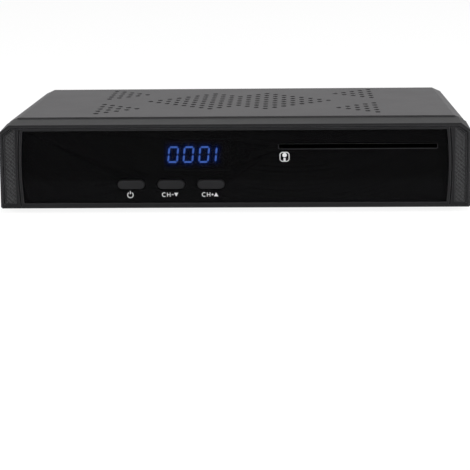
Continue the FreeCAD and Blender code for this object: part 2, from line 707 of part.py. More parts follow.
def main_board():
    """Main circuit board."""
    board = block(-BOARD_HALF_WIDTH, BOARD_HALF_WIDTH, MAIN_BOARD_FRONT, MAIN_BOARD_BACK,
                  MAIN_BOARD_BOTTOM, MAIN_BOARD_TOP)
    holes = [rod_z(SCREW_SHANK_R, x, y, BASE, TOP) for x, y in BOARD_SCREW_SPOTS]
    return board.cut(holes)


def on_board(x, y, size_x, size_y, size_z):
    """Plain component standing on the main board."""
    return centred(x, y, MAIN_BOARD_TOP, size_x, size_y, size_z)


def processor():
    """Main processor chip under the heatsink."""
    return on_board(PROCESSOR_X, PROCESSOR_Y, PROCESSOR_SIZE, PROCESSOR_SIZE, PROCESSOR_HEIGHT)


def heatsink():
    """Finned aluminium block on the processor."""
    low = MAIN_BOARD_TOP + PROCESSOR_HEIGHT
    body = centred(PROCESSOR_X, PROCESSOR_Y, low, HEATSINK_SIZE, HEATSINK_SIZE, HEATSINK_HEIGHT)
    pitch = HEATSINK_SIZE / HEATSINK_FINS
    gaps = []
    for index in range(1, HEATSINK_FINS):
        x = PROCESSOR_X - HEATSINK_SIZE / 2 + index * pitch
        gaps.append(centred(x, PROCESSOR_Y, low + 2.5, pitch * 0.55, HEATSINK_SIZE + 2, HEATSINK_HEIGHT))
    return body.cut(gaps)


def memory_chips():
    """Two memory chips beside the processor."""
    x = PROCESSOR_X + 27.0
    return group([on_board(x, PROCESSOR_Y + offset, 12, 8, 1.1) for offset in (-7, 7)])


def flash_chip():
    """Flash memory in front of the processor."""
    return on_board(PROCESSOR_X - 24.0, PROCESSOR_Y - 6.0, 8, 6, 1.6)


def crystal():
    """Crystal can beside the processor."""
    x = PROCESSOR_X - 24.0
    y = PROCESSOR_Y + 8.0
    return stadium_flat(x, y, 11.0, 4.6, MAIN_BOARD_TOP, MAIN_BOARD_TOP + 3.5)


def stadium_flat(x, y, length, width, z0, z1):
    """Round-ended bar lying on the board."""
    radius = width / 2
    reach = length / 2 - radius
    bar = block(x - reach, x + reach, y - radius, y + radius, z0, z1)
    ends = [rod_z(radius, x - reach, y, z0, z1), rod_z(radius, x + reach, y, z0, z1)]
    return bar.fuse(ends).removeSplitter()


def capacitors():
    """Upright electrolytic capacitors."""
    cans = []
    for x, back, radius, height in CAPACITORS:
        can = rod_z(radius, x, MAIN_BOARD_FRONT + back, MAIN_BOARD_TOP, MAIN_BOARD_TOP + height)
        edges = [edge for edge in can.Edges if edge.BoundBox.ZMin > MAIN_BOARD_TOP + height - 0.01]
        cans.append(can.makeFillet(0.5, edges))
    return group(cans)


def inductors():
    """Square power inductors."""
    spots = ((-72.0, 40.0), (-56.0, 44.0), (40.0, 30.0))
    return group([on_board(x, MAIN_BOARD_FRONT + back, 8, 8, 5) for x, back in spots])


def regulators():
    """Supply regulator chips."""
    spots = ((-70.0, 8.0), (-44.0, 20.0), (52.0, 22.0))
    return group([on_board(x, MAIN_BOARD_FRONT + back, 6.5, 6.0, 2.3) for x, back in spots])


def tuner_can():
    """Screening can of the tuner."""
    x = sum(F_SOCKET_X) / 2
    return on_board(x, MAIN_BOARD_BACK - TUNER_DEPTH / 2, TUNER_WIDTH, TUNER_DEPTH, TUNER_HEIGHT)


def f_socket(x):
    """F-type aerial socket: thread sleeve, collar and centre bore."""
    z = MAIN_BOARD_TOP + F_HEIGHT
    collar = rod_y(F_COLLAR_R, x, z, MAIN_BOARD_BACK, PANEL_OUTER + F_NUT_THICK)
    sleeve = collar.fuse(rod_y(F_THREAD_R, x, z, PANEL_OUTER, REAR + SOCKET_REACH))
    bore = rod_y(F_BORE_R, x, z, REAR + SOCKET_REACH - 7.0, REAR + SOCKET_REACH + 1)
    return sleeve.cut(bore)


def f_nut(x):
    """Hexagon nut that clamps the socket to the rear panel."""
    z = MAIN_BOARD_TOP + F_HEIGHT
    circumradius = F_NUT_FLATS / 2 / math.cos(math.pi / 6)
    corners = []
    for index in range(6):
        angle = index * math.pi / 3
        corners.append((x + circumradius * math.cos(angle), z + circumradius * math.sin(angle)))
    nut = prism_y(corners, PANEL_OUTER, PANEL_OUTER + F_NUT_THICK)
    return nut.cut(rod_y(F_COLLAR_R, x, z, PANEL_INNER, REAR + SOCKET_REACH))


def phono_sockets():
    """Block that carries three phono sockets."""
    base = MAIN_BOARD_TOP
    z = base + PHONO_Z
    middle = PHONO_X[1]
    body = block(middle - 20, middle + 20, MAIN_BOARD_BACK - 12, MAIN_BOARD_BACK, base, base + 17)
    for x in PHONO_X:
        body = body.fuse(rod_y(PHONO_R + 1.2, x, z, MAIN_BOARD_BACK, PANEL_OUTER + 0.4))
    for x in PHONO_X:
        body = body.cut(rod_y(PHONO_R - 0.7, x, z, MAIN_BOARD_BACK - 6, REAR + 1))
    return body


def phono_collars():
    """Metal sleeves of the phono sockets."""
    z = MAIN_BOARD_TOP + PHONO_Z
    collars = []
    for x in PHONO_X:
        outer = rod_y(PHONO_R, x, z, PANEL_OUTER + 0.4, PANEL_OUTER + 0.4 + PHONO_REACH)
        collars.append(outer.cut(rod_y(PHONO_PIN_R, x, z, PANEL_OUTER, REAR + PHONO_REACH + 2)))
    return group(collars)


def socket_shell(x, width, height, wall, depth_inside, tongue):
    """Square socket: shell, mouth and contact tongue."""
    base = MAIN_BOARD_TOP
    back = MAIN_BOARD_BACK - SOCKET_DEPTH
    front = PANEL_OUTER + 0.6
    body = block(x - width / 2, x + width / 2, back, front, base, base + height)
    mouth = block(x - width / 2 + wall, x + width / 2 - wall, front - depth_inside, front + 1,
                  base + wall, base + height - wall)
    body = body.cut(mouth)
    if tongue is not None:
        low, high = tongue
        half = width / 2 - wall - 1.4
        body = body.fuse(block(x - half, x + half, front - depth_inside - 0.5, front - 1.5,
                               base + low, base + high))
    return body


def hdmi_socket():
    """HDMI socket."""
    shell = socket_shell(HDMI_X, HDMI_WIDTH, HDMI_HEIGHT, 0.6, 10.0, (2.3, 3.4))
    return shell


def usb_socket():
    """USB socket."""
    return socket_shell(USB_X, USB_WIDTH, USB_HEIGHT, 0.6, 10.0, (4.0, 5.9))


def network_socket():
    """Network socket."""
    return socket_shell(NETWORK_X, NETWORK_WIDTH, NETWORK_HEIGHT, NETWORK_WALL, NETWORK_MOUTH_DEPTH, None)


def optical_socket():
    """Optical audio socket with its closed dust flap."""
    base = MAIN_BOARD_TOP
    body = block(OPTICAL_X - 4.9, OPTICAL_X + 4.9, MAIN_BOARD_BACK - 9, PANEL_OUTER + 0.5,
                 base + 1.0, base + 11.0)
    frame = block(OPTICAL_X - 3.6, OPTICAL_X + 3.6, PANEL_OUTER - 0.3, PANEL_OUTER + 2,
                  base + 2.2, base + 9.4)
    foot = block(OPTICAL_X - 4, OPTICAL_X + 4, MAIN_BOARD_BACK - 8, MAIN_BOARD_BACK - 2, base, base + 1.0)
    return body.cut(frame).fuse(foot).removeSplitter()


def dc_inlet():
    """Low-voltage DC inlet with its centre pin."""
    base = MAIN_BOARD_TOP
    z = base + DC_Z
    body = block(DC_X - DC_WIDTH / 2, DC_X + DC_WIDTH / 2, MAIN_BOARD_BACK - 13, MAIN_BOARD_BACK,
                 base, base + DC_HEIGHT)
    barrel = rod_y(DC_BARREL_R + 1.0, DC_X, z, MAIN_BOARD_BACK - 1, PANEL_OUTER + 0.5)
    body = body.fuse(barrel).cut(rod_y(DC_BARREL_R, DC_X, z, MAIN_BOARD_BACK - 9, REAR))
    pin = rod_y(DC_PIN_R, DC_X, z, MAIN_BOARD_BACK - 10, PANEL_OUTER - 0.6)
    return body.fuse(pin)


def button_cap(x):
    """Button cap with a rear flange and a stem for the switch."""
    z = BASE + BUTTON_Z
    face = WINDOW_FRONT - BUTTON_PROUD
    cap = stadium_y(x, z, BUTTON_WIDTH, BUTTON_HEIGHT, face, CAP_BACK)
    rim = [edge for edge in cap.Edges if edge.BoundBox.YMax < face + 0.01]
    cap = cap.makeFillet(0.35, rim)
    flange = stadium_y(x, z, BUTTON_WIDTH + 1.0, BUTTON_HEIGHT + 1.0, FLANGE_FRONT, CAP_BACK)
    stem = block(x - STEM_HALF, x + STEM_HALF, CAP_BACK - 0.1, STEM_BACK, z - STEM_HALF, z + STEM_HALF)
    return cap.fuse([flange, stem]).removeSplitter()


def button_guide():
    """Strip behind the buttons that guides their stems."""
    z = BASE + BUTTON_Z
    strip = block(BUTTON_X[0] - 11, BUTTON_X[2] + 11, GUIDE_FRONT, GUIDE_BACK,
                  z - GUIDE_HALF_HEIGHT, z + GUIDE_HALF_HEIGHT)
    reach = STEM_HALF + STEM_CLEARANCE
    cuts = [block(x - reach, x + reach, GUIDE_FRONT - 1, GUIDE_BACK + 1, z - reach, z + reach)
            for x in BUTTON_X]
    return strip.cut(cuts)


def switch_bodies():
    """Three tact switches on the front board."""
    z = BASE + BUTTON_Z
    bodies = []
    half = SWITCH_SIZE / 2
    y0 = FRONT_BOARD_FRONT - SWITCH_DEPTH
    for x in BUTTON_X:
        body = block(x - half, x + half, y0, FRONT_BOARD_FRONT, z - half, z + half)
        well = rod_y(PLUNGER_HOLE_R, x, z, y0 - 1, FRONT_BOARD_FRONT - 1)
        bodies.append(body.cut(well))
    return group(bodies)


def plunger(x):
    """Switch plunger that the button's stem bears on."""
    z = BASE + BUTTON_Z
    return rod_y(PLUNGER_R, x, z, STEM_BACK, FRONT_BOARD_FRONT - 1 - BUTTON_TRAVEL - 0.4)


def front_board():
    """Circuit board behind the window."""
    board = block(FRONT_BOARD_LEFT, FRONT_BOARD_RIGHT, FRONT_BOARD_FRONT, FRONT_BOARD_BACK,
                  BASE + FRONT_BOARD_LOW, BASE + FRONT_BOARD_HIGH)
    z = BASE + FRONT_BOARD_SCREW_Z
    holes = [rod_y(SCREW_SHANK_R, x, z, FRONT_BOARD_FRONT - 1, FRONT_BOARD_BACK + 1)
             for x in FRONT_BOARD_SCREW_X]
    return board.cut(holes)


def display_block():
    """Four-digit light-emitting display."""
    half = DISPLAY_WIDTH / 2
    tall = DISPLAY_HEIGHT / 2
    z = BASE + DIGIT_Z
    head = block(DISPLAY_MIDDLE_X - half, DISPLAY_MIDDLE_X + half, DISPLAY_FRONT,
                 DISPLAY_FRONT + DISPLAY_DEPTH, z - tall, z + tall)
    pins = []
    for row in (-1, 1):
        for index in range(6):
            x = DISPLAY_MIDDLE_X + (index - 2.5) * 2.54
            pins.append(block(x - 0.25, x + 0.25, DISPLAY_FRONT + DISPLAY_DEPTH - 0.1, FRONT_BOARD_FRONT,
                              z + row * 5 - 0.25, z + row * 5 + 0.25))
    return head.fuse(pins)


def segment(x, z, length, width, upright):
    """Corner points of one six-sided display segment."""
    half = length / 2
    side = width / 2
    flat = [(-half, 0), (side - half, side), (half - side, side), (half, 0), (half - side, -side),
            (side - half, -side)]
    if upright:
        flat = [(b, a) for a, b in flat]
    return [(x + a, z + b) for a, b in flat]


def lean(points, x_middle, z_middle):
    """Slant a digit's points to the right with height."""
    return [(x + (z - z_middle) * DIGIT_SLANT + x_middle, z) for x, z in points]


def digit(x_middle, lit):
    """Raised segments of one digit; lit names the segments by letter."""
    z = BASE + DIGIT_Z
    half_w = (DIGIT_WIDTH - SEGMENT_WIDTH) / 2
    half_h = (DIGIT_HEIGHT - SEGMENT_WIDTH) / 2
    flat = 2 * half_w - SEGMENT_GAP / 2
    tall = half_h - SEGMENT_GAP
    table = {
        "a": segment(0, z + half_h, flat, SEGMENT_WIDTH, False),
        "b": segment(half_w, z + half_h / 2, tall, SEGMENT_WIDTH, True),
        "c": segment(half_w, z - half_h / 2, tall, SEGMENT_WIDTH, True),
        "d": segment(0, z - half_h, flat, SEGMENT_WIDTH, False),
        "e": segment(-half_w, z - half_h / 2, tall, SEGMENT_WIDTH, True),
        "f": segment(-half_w, z + half_h / 2, tall, SEGMENT_WIDTH, True),
        "g": segment(0, z, flat, SEGMENT_WIDTH, False),
    }
    return [prism_y(lean(table[name], x_middle, z), DISPLAY_FRONT - 0.2, DISPLAY_FRONT) for name in lit]


def lit_digits():
    """Lit segments: three zeros, then a one on the left-hand segments."""
    solids = []
    for x, lit in zip(DIGIT_X, ("abcdef", "abcdef", "abcdef", "ef")):
        solids.extend(digit(x, lit))
    return group(solids)


def remote_eye():
    """Infrared receiver for the remote control."""
    z = BASE + EYE_Z
    body = block(EYE_X - 3, EYE_X + 3, FRONT_BOARD_FRONT - 5, FRONT_BOARD_FRONT, z - 3.5, z + 3.5)
    dome = Part.makeSphere(2.6, V(EYE_X, FRONT_BOARD_FRONT - 5, z))
    return body.fuse(dome)


def display_driver():
    """Display driver chip behind the front board."""
    z = BASE + 27.0
    return block(-48, -38, FRONT_BOARD_BACK, FRONT_BOARD_BACK + 2.0, z - 3.8, z + 3.8)


def ribbon_headers():
    """Pin headers on the front board and the main board."""
    front = block(RIBBON_X - 9, RIBBON_X + 9, FRONT_BOARD_BACK, FRONT_BOARD_BACK + HEADER_REACH,
                  RIBBON_FRONT_Z - 2.5, RIBBON_FRONT_Z + 2.5)
    main = on_board(RIBBON_X, RIBBON_HEADER_Y, 18, 5, 7)
    return group([front, main])


def ribbon_cable():
    """Flat cable between the boards: out of one header, down into the other."""
    x0 = RIBBON_X - RIBBON_HALF
    x1 = RIBBON_X + RIBBON_HALF
    half = RIBBON_THICK / 2
    start = FRONT_BOARD_BACK + HEADER_REACH
    flat = block(x0, x1, start, RIBBON_HEADER_Y + half, RIBBON_FRONT_Z - half, RIBBON_FRONT_Z + half)
    drop = block(x0, x1, RIBBON_HEADER_Y - half, RIBBON_HEADER_Y + half, MAIN_BOARD_TOP + 7,
                 RIBBON_FRONT_Z + half)
    return flat.fuse(drop).removeSplitter()


def card_reader():
    """Card reader body with a wide mouth and a flat passage for the card."""
    middle = CARD_MIDDLE
    z = BASE + SLOT_MIDDLE_Z
    low = CARD_BOARD_LOW + BOARD_THICK
    front = CARD_READER_FRONT
    back = front + CARD_READER_LENGTH
    body = block(middle - CARD_READER_HALF, middle + CARD_READER_HALF, front, back, low, z + CARD_READER_RISE)
    lip_half = (SLOT_RIGHT - SLOT_LEFT) / 2 + CARD_LIP_WALL
    lip = block(middle - lip_half, middle + lip_half, front, front + CARD_MOUTH_DEPTH + CARD_LIP_WALL,
                low, z + CARD_READER_RISE)
    card_half = CARD_WIDTH / 2 + CARD_SLACK
    passage = block(middle - card_half, middle + card_half, front - 1, back - CARD_STOP, z - CARD_PASSAGE / 2,
                    z + CARD_PASSAGE / 2)
    mouth = card_gap(0, front - 1, front + CARD_MOUTH_DEPTH)
    return body.fuse(lip).cut([passage, mouth]).removeSplitter()


def card_board():
    """Small board that carries the card reader."""
    middle = CARD_MIDDLE
    return block(middle - 34, middle + 34, CARD_READER_FRONT + 2, CARD_READER_FRONT + 62,
                 CARD_BOARD_LOW, CARD_BOARD_LOW + BOARD_THICK)


def card_contacts():
    """Eight sprung contacts inside the card passage, at rest below the card."""
    middle = CARD_MIDDLE
    z = BASE + SLOT_MIDDLE_Z - 0.7
    contacts = []
    for row in (0, 1):
        for index in range(4):
            x = middle + (index - 1.5) * 2.54
            y = CARD_READER_FRONT + 30 + row * 7.6
            contacts.append(block(x - 0.5, x + 0.5, y, y + 4, z, z + 0.3))
    return group(contacts)


def card_board_posts():
    """Posts between the main board and the card reader's board."""
    middle = CARD_MIDDLE
    posts = []
    for side in (-1, 1):
        posts.append(rod_z(2.5, middle + side * 30, CARD_READER_FRONT + 59, MAIN_BOARD_TOP, CARD_BOARD_LOW))
    return group(posts)


def pieces():
    """Every node's name with its shape."""
    result = {
        "front_bezel": front_bezel(),
        "window_panel": window_panel(),
        "cheek_left": cheek(-1),
        "cheek_right": cheek(1),
        "top_cover": top_cover(),
        "chassis_tray": chassis_tray(),
        "rear_panel": rear_panel(),
        "feet": feet(),
        "cover_screws": cover_screws(),
        "panel_screws": panel_screws(),
        "bezel_screws": bezel_screws(),
        "board_screws": board_screws(),
        "board_spacers": board_spacers(),
        "front_screws": front_screws(),
        "main_board": main_board(),
        "processor": processor(),
        "heatsink": heatsink(),
        "memory_chips": memory_chips(),
        "flash_chip": flash_chip(),
        "crystal": crystal(),
        "capacitors": capacitors(),
        "inductors": inductors(),
        "regulators": regulators(),
        "tuner_can": tuner_can(),
        "phono_sockets": phono_sockets(),
        "phono_collars": phono_collars(),
        "hdmi_socket": hdmi_socket(),
        "usb_socket": usb_socket(),
        "network_socket": network_socket(),
        "optical_socket": optical_socket(),
        "dc_inlet": dc_inlet(),
        "button_guide": button_guide(),
        "switch_bodies": switch_bodies(),
        "front_board": front_board(),
        "display_block": display_block(),
        "lit_digits": lit_digits(),
        "remote_eye": remote_eye(),
        "display_driver": display_driver(),
        "ribbon_headers": ribbon_headers(),
        "ribbon_cable": ribbon_cable(),
        "card_reader": card_reader(),
        "card_board": card_board(),
        "card_contacts": card_contacts(),
        "card_board_posts": card_board_posts(),
    }
    for name, x in zip(("in", "out"), F_SOCKET_X):
        result["f_socket_" + name] = f_socket(x)
        result["f_nut_" + name] = f_nut(x)
    for name, x in zip(BUTTON_NAMES, BUTTON_X):
        result["button_" + name] = button_cap(x)
        result["plunger_" + name] = plunger(x)
    return result


def main():
    """Write one STEP file for each piece and print its size."""
    os.makedirs("parts", exist_ok=True)
    for name, shape in pieces().items():
        assert shape.isValid(), name
        shape.exportStep("parts/" + name + ".step")
        box = shape.BoundBox
        print(name, len(shape.Solids), round(shape.Volume, 1),
              [round(value, 2) for value in (box.XMin, box.XMax, box.YMin, box.YMax, box.ZMin, box.ZMax)])


main()
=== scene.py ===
"""Looks of a satellite television receiver, dressed round its packed construction model.

All lengths are metres in the part's own frame: X right, Y to the rear, Z up, front towards -Y.
"""

import logging
import math
from dataclasses import dataclass, field
from enum import Enum

import bpy
import numpy as np
from mathutils import Matrix, Vector


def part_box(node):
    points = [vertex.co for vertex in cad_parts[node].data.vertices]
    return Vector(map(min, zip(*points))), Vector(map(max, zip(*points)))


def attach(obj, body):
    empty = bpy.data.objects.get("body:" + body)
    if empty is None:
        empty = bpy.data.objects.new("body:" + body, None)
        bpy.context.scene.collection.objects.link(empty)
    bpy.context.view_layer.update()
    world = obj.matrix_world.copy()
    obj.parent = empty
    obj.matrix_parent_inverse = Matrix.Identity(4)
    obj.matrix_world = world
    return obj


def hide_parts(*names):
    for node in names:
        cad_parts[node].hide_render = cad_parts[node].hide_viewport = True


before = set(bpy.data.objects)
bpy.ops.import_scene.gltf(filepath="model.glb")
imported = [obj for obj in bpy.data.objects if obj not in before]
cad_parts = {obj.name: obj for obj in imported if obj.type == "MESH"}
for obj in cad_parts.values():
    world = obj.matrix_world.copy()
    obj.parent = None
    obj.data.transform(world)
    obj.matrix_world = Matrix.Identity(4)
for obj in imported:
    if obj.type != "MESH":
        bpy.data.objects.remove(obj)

LOG = logging.getLogger("receiver")
MM = 0.001
CASE = "case"
Triple = tuple[float, float, float]
Pair = tuple[float, float]
Colour = Triple
Box = tuple[Vector, Vector]

# Rays that find the rounded normal at an edge
EDGE_SAMPLES = 6
# How far the painted edge highlight reaches from an edge, and how well the normals agree where it is full
# and where it ends
EDGE_HIGHLIGHT_REACH = 0.35 * MM
EDGE_HIGHLIGHT_FULL = 0.92
EDGE_HIGHLIGHT_NONE = 0.995
# Layers of finer noise
FEW = 2.0
SOME = 4.0
MANY = 5.0
# Radians that the wave texture turns in one unit at scale 1
WAVE_RATE = 20.0
# Points within this of a plane lie on it
SAME_PLANE = 0.01 * MM
# Least squared length of a line, so that none divides by zero
LEAST_SQUARE = 1e-12
# Width of the picture in pixels
PICTURE = 470.0


def node_box(name: str) -> Box:
    """Lowest and highest corners of a construction node at rest."""
    low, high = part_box(name)
    return Vector(low), Vector(high)


def centre(box: Box) -> Vector:
    """Middle of a box."""
    return (box[0] + box[1]) / 2


class Wiring:
    """A material's node tree, with short calls to add and join nodes."""

    def __init__(self, name: str) -> None:
        """Start an empty material.

        Args:
            name: The material's name.
        """
        self.material = bpy.data.materials.new(name)
        self.material.use_nodes = True
        self.tree = self.material.node_tree
        self.tree.nodes.clear()
        self.shader = self.add("ShaderNodeBsdfPrincipled")
        self.output = self.add("ShaderNodeOutputMaterial")
        self.join(self.shader, "BSDF", self.output, "Surface")

    def add(self, kind: str, **settings: object) -> bpy.types.Node:
        """Add one node.

        Args:
            kind: Blender's name of the node type.
            **settings: Properties of the node, or values of its sockets.

        Returns:
            The new node.
        """
        node = self.tree.nodes.new(kind)
        for key, value in settings.items():
            if hasattr(node, key):
                setattr(node, key, value)
            else:
                node.inputs[key.replace("_", " ").title()].default_value = value
        return node

    def join(self, source: bpy.types.Node, out: str | int, target: bpy.types.Node, into: str | int) -> None:
        """Link an output of one node to an input of another."""
        self.tree.links.new(source.outputs[out], target.inputs[into])

    def feed(self, source: bpy.types.Node, out: str | int, socket: str) -> None:
        """Link an output to the shader's own socket."""
        self.join(source, out, self.shader, socket)

    def constant(self, socket: str, value: float | tuple[float, ...]) -> None:
        """Set a value on the shader's own socket."""
        self.shader.inputs[socket].default_value = value

    def place(self, scale: Triple = (1.0, 1.0, 1.0), turn: float = 0.0) -> bpy.types.Node:
        """Object coordinates, scaled and turned about Y.

        Args:
            scale: Scale along X, Y and Z.
            turn: Turn about the Y axis, in radians.

        Returns:
            The Mapping node.
        """
        coordinates = self.add("ShaderNodeTexCoord")
        mapping = self.add("ShaderNodeMapping", rotation=(0.0, turn, 0.0), scale=scale)
        self.join(coordinates, "Object", mapping, "Vector")
        return mapping

    def noise(self, where: bpy.types.Node, scale: float, detail: float) -> bpy.types.Node:
        """Noise on given coordinates.

        Args:
            where: Node whose first output gives the coordinates.
            scale: Cells per metre.
            detail: Number of finer layers.

        Returns:
            The Noise node.
        """
        node = self.add("ShaderNodeTexNoise", scale=scale, detail=detail)
        self.join(where, 0, node, "Vector")
        return node

    def blend(self, source: bpy.types.Node, out: str | int, low: Colour, high: Colour,
              start: float = 0.3, end: float = 0.7) -> bpy.types.Node:
        """Colour ramp between two colours.

        Args:
            source: Node that drives the ramp.
            out: Its output socket.
            low: Colour at the start.
            high: Colour at the end.
            start: Input at which the ramp starts.
            end: Input at which it ends.

        Returns:
            The ramp node.
        """
        ramp = self.add("ShaderNodeValToRGB")
        for stop, position, colour in zip(ramp.color_ramp.elements, (start, end), (low, high)):
            stop.position = position
            stop.color = (*colour, 1.0)
        self.join(source, out, ramp, "Fac")
        return ramp

    def spread(self, source: bpy.types.Node, low: float, high: float) -> None:
        """Give the shader a roughness that follows a pattern.

        Args:
            source: Node whose factor is the pattern.
            low: Roughness where it is 0.
            high: Roughness where it is 1.
        """
        node = self.add("ShaderNodeMapRange", to_min=low, to_max=high)
        self.join(source, "Fac", node, "Value")
        self.feed(node, "Result", "Roughness")

    def weigh(self, source: bpy.types.Node, share: float, rest: bpy.types.Node,
              out: str | int) -> bpy.types.Node:
        """A node's factor times a share, added to another value.

        Args:
            source: Node that gives the factor.
            share: Its share.
            rest: Node that gives the other value.
            out: Output socket of the other value.

        Returns:
            The node that gives the sum.
        """
        node = self.add("ShaderNodeMath", operation="MULTIPLY_ADD")
        node.inputs[1].default_value = share
        self.join(source, "Fac", node, 0)
        self.join(rest, out, node, 2)
        return node

    def relief(self, source: bpy.types.Node, out: str | int, depth: float, edge: float = 0.0) -> None:
        """Bump from a height, on top of softened edges.

        Args:
            source: Node that gives the height.
            out: Its output socket.
            depth: Height of the relief in metres.
            edge: Radius by which sharp edges are softened, or 0.
        """
        bump = self.add("ShaderNodeBump", distance=depth)
        self.join(source, out, bump, "Height")
        if edge > 0.0:
            soft = self.add("ShaderNodeBevel", samples=EDGE_SAMPLES, radius=edge)
            self.join(soft, "Normal", bump, "Normal")
        self.feed(bump, "Normal", "Normal")

    def paint_edge_highlight(self, tint: bpy.types.Node, bare: Colour) -> bpy.types.Node:
        """Painted highlight on edges: a paler colour shows where the rounded normal leaves the true one,
        standing in for light caught by rounded rims.

        Args:
            tint: Node whose first output is the plain colour.
            bare: Colour of the painted edge highlight.

        Returns:
            A node whose first output is the colour with its painted edge highlight.
        """
        soft = self.add("ShaderNodeBevel", samples=EDGE_SAMPLES, radius=EDGE_HIGHLIGHT_REACH)
        true = self.add("ShaderNodeNewGeometry")
        agree = self.add("ShaderNodeVectorMath", operation="DOT_PRODUCT")
        self.join(soft, "Normal", agree, 0)
        self.join(true, "Normal", agree, 1)
        share = self.add("ShaderNodeMapRange", from_min=EDGE_HIGHLIGHT_FULL, from_max=EDGE_HIGHLIGHT_NONE,
                         to_min=1.0, to_max=0.0)
        self.join(agree, "Value", share, "Value")
        mix = self.add("ShaderNodeMixRGB", color2=(*bare, 1.0))
        self.join(share, "Result", mix, "Fac")
        self.join(tint, "Color", mix, "Color1")
        return mix


def shade(colour: Colour, factor: float) -> Colour:
    """A colour times a factor."""
    return tuple(channel * factor for channel in colour)


@dataclass(frozen=True)
class Moulded:
    """Moulded plastic, rubber or paint with a fine grain.

    Attributes:
        grain: Grains per metre.
        depth: Height of the grain.
        edge: Radius by which sharp edges are softened.
        mottle: Share by which the colour strays either way.
        edge_highlight_share: Share by which an edge is paler as a painted highlight, or 0.
        patches: Patches of colour per metre.
        uneven: How far the roughness strays either way.
    """

    name: str
    colour: Colour
    roughness: float
    specular: float
    grain: float
    depth: float
    edge: float
    mottle: float = 0.12
    edge_highlight_share: float = 0.0
    patches: float = 60.0
    uneven: float = 0.06

    def make(self) -> bpy.types.Material:
        """Build the material.

        Returns:
            The material.
        """
        wiring = Wiring(self.name)
        place = wiring.place()
        cloud = wiring.noise(place, self.patches, MANY)
        dark = shade(self.colour, 1.0 - self.mottle)
        light = shade(self.colour, 1.0 + self.mottle)
        tint = wiring.blend(cloud, "Fac", dark, light)
        # Paler edges here are a painted highlight of light caught by rounded rims
        if self.edge_highlight_share > 0.0:
            tint = wiring.paint_edge_highlight(tint, shade(self.colour, 1.0 + self.edge_highlight_share))
        wiring.feed(tint, 0, "Base Color")
        wiring.spread(cloud, self.roughness - self.uneven, self.roughness + self.uneven)
        wiring.constant("Specular IOR Level", self.specular)
        grain = wiring.noise(place, self.grain, FEW)
        wiring.relief(grain, "Fac", self.depth, self.edge)
        return wiring.material


@dataclass(frozen=True)
class CarbonWeave:
    """Moulded twill pattern: broad diagonal ribs, crossed by finer ones and broken into strands.

    Attributes:
        rib: Distance from rib to rib.
        finer: The same for the crossing ribs, as a share of it.
        lean: Lean of the ribs, in degrees about Y.
        strands: Cells of the broken strands per metre, along X, Y and Z.
        cross_share: Weight of the crossing ribs against the broad ones.
        strand_share: Weight of the strands against the broad ribs.
        waver: How far the ribs wander.
    """

    name: str
    dark: Colour
    light: Colour
    rib: float = 1.4 * MM
    finer: float = 0.6
    lean: float = 48.0
    depth: float = 0.10 * MM
    strands: Triple = (1300.0, 1.0, 900.0)
    cross_share: float = 0.7
    strand_share: float = 4.4
    start: float = 0.34
    end: float = 0.66
    waver: float = 0.6
    roughness: float = 0.42
    specular: float = 0.2

    def waves(self, wiring: Wiring, turn: float, period: float) -> bpy.types.Node:
        """Straight ribs: a sine wave of the coordinate across them.

        Args:
            wiring: The material's nodes.
            turn: Turn of the ribs about Y, in degrees.
            period: Distance from rib to rib.

        Returns:
            The Wave node.
        """
        place = wiring.place(turn=math.radians(turn))
        wave = wiring.add("ShaderNodeTexWave", wave_type="BANDS", bands_direction="X",
                          scale=2.0 * math.pi / (WAVE_RATE * period), distortion=self.waver, detail=1.0)
        wiring.join(place, 0, wave, "Vector")
        return wave

    def make(self) -> bpy.types.Material:
        """Build the material.

        Returns:
            The material.
        """
        wiring = Wiring(self.name)
        ribs = self.waves(wiring, self.lean, self.rib)
        cross = self.waves(wiring, self.lean - 90.0, self.rib * self.finer)
        strands = wiring.place(scale=self.strands, turn=math.radians(self.lean))
        streak = wiring.noise(strands, 1.0, FEW)
        both = wiring.weigh(cross, self.cross_share, ribs, "Fac")
        total = wiring.weigh(streak, self.strand_share, both, 0)
        most = 1.0 + self.cross_share + self.strand_share
        level = wiring.add("ShaderNodeMapRange", from_max=most)
        wiring.join(total, 0, level, "Value")
        tint = wiring.blend(level, "Result", self.dark, self.light, self.start, self.end)
        wiring.feed(tint, "Color", "Base Color")
        wiring.constant("Roughness", self.roughness)
        wiring.constant("Specular IOR Level", self.specular)
        wiring.relief(level, "Result", self.depth)
        return wiring.material


@dataclass(frozen=True)
class SmokedWindow:
    """Gloss smoked panel; the strip below a level is a little paler.

    Attributes:
        level: Z at which the colour changes.
        soften: Half the height over which it changes.
        haze: Patches of haze per metre.
    """

    name: str
    upper: Colour
    lower: Colour
    level: float
    soften: float = 0.4 * MM
    alpha: float = 0.70
    gloss: float = 0.04
    haze: float = 240.0
    clear: float = 0.07
    hazy: float = 0.13

    def make(self) -> bpy.types.Material:
        """Build the material.

        Returns:
            The material.
        """
        wiring = Wiring(self.name)
        place = wiring.place()
        split = wiring.add("ShaderNodeSeparateXYZ")
        wiring.join(place, 0, split, 0)
        step = wiring.add("ShaderNodeMapRange", interpolation_type="SMOOTHSTEP",
                          from_min=self.level - self.soften, from_max=self.level + self.soften)
        wiring.join(split, "Z", step, "Value")
        tint = wiring.blend(step, "Result", self.lower, self.upper, 0.0, 1.0)
        wiring.feed(tint, "Color", "Base Color")
        wiring.spread(wiring.noise(place, self.haze, SOME), self.clear, self.hazy)
        wiring.constant("Specular IOR Level", self.gloss)
        wiring.constant("Alpha", self.alpha)
        return wiring.material


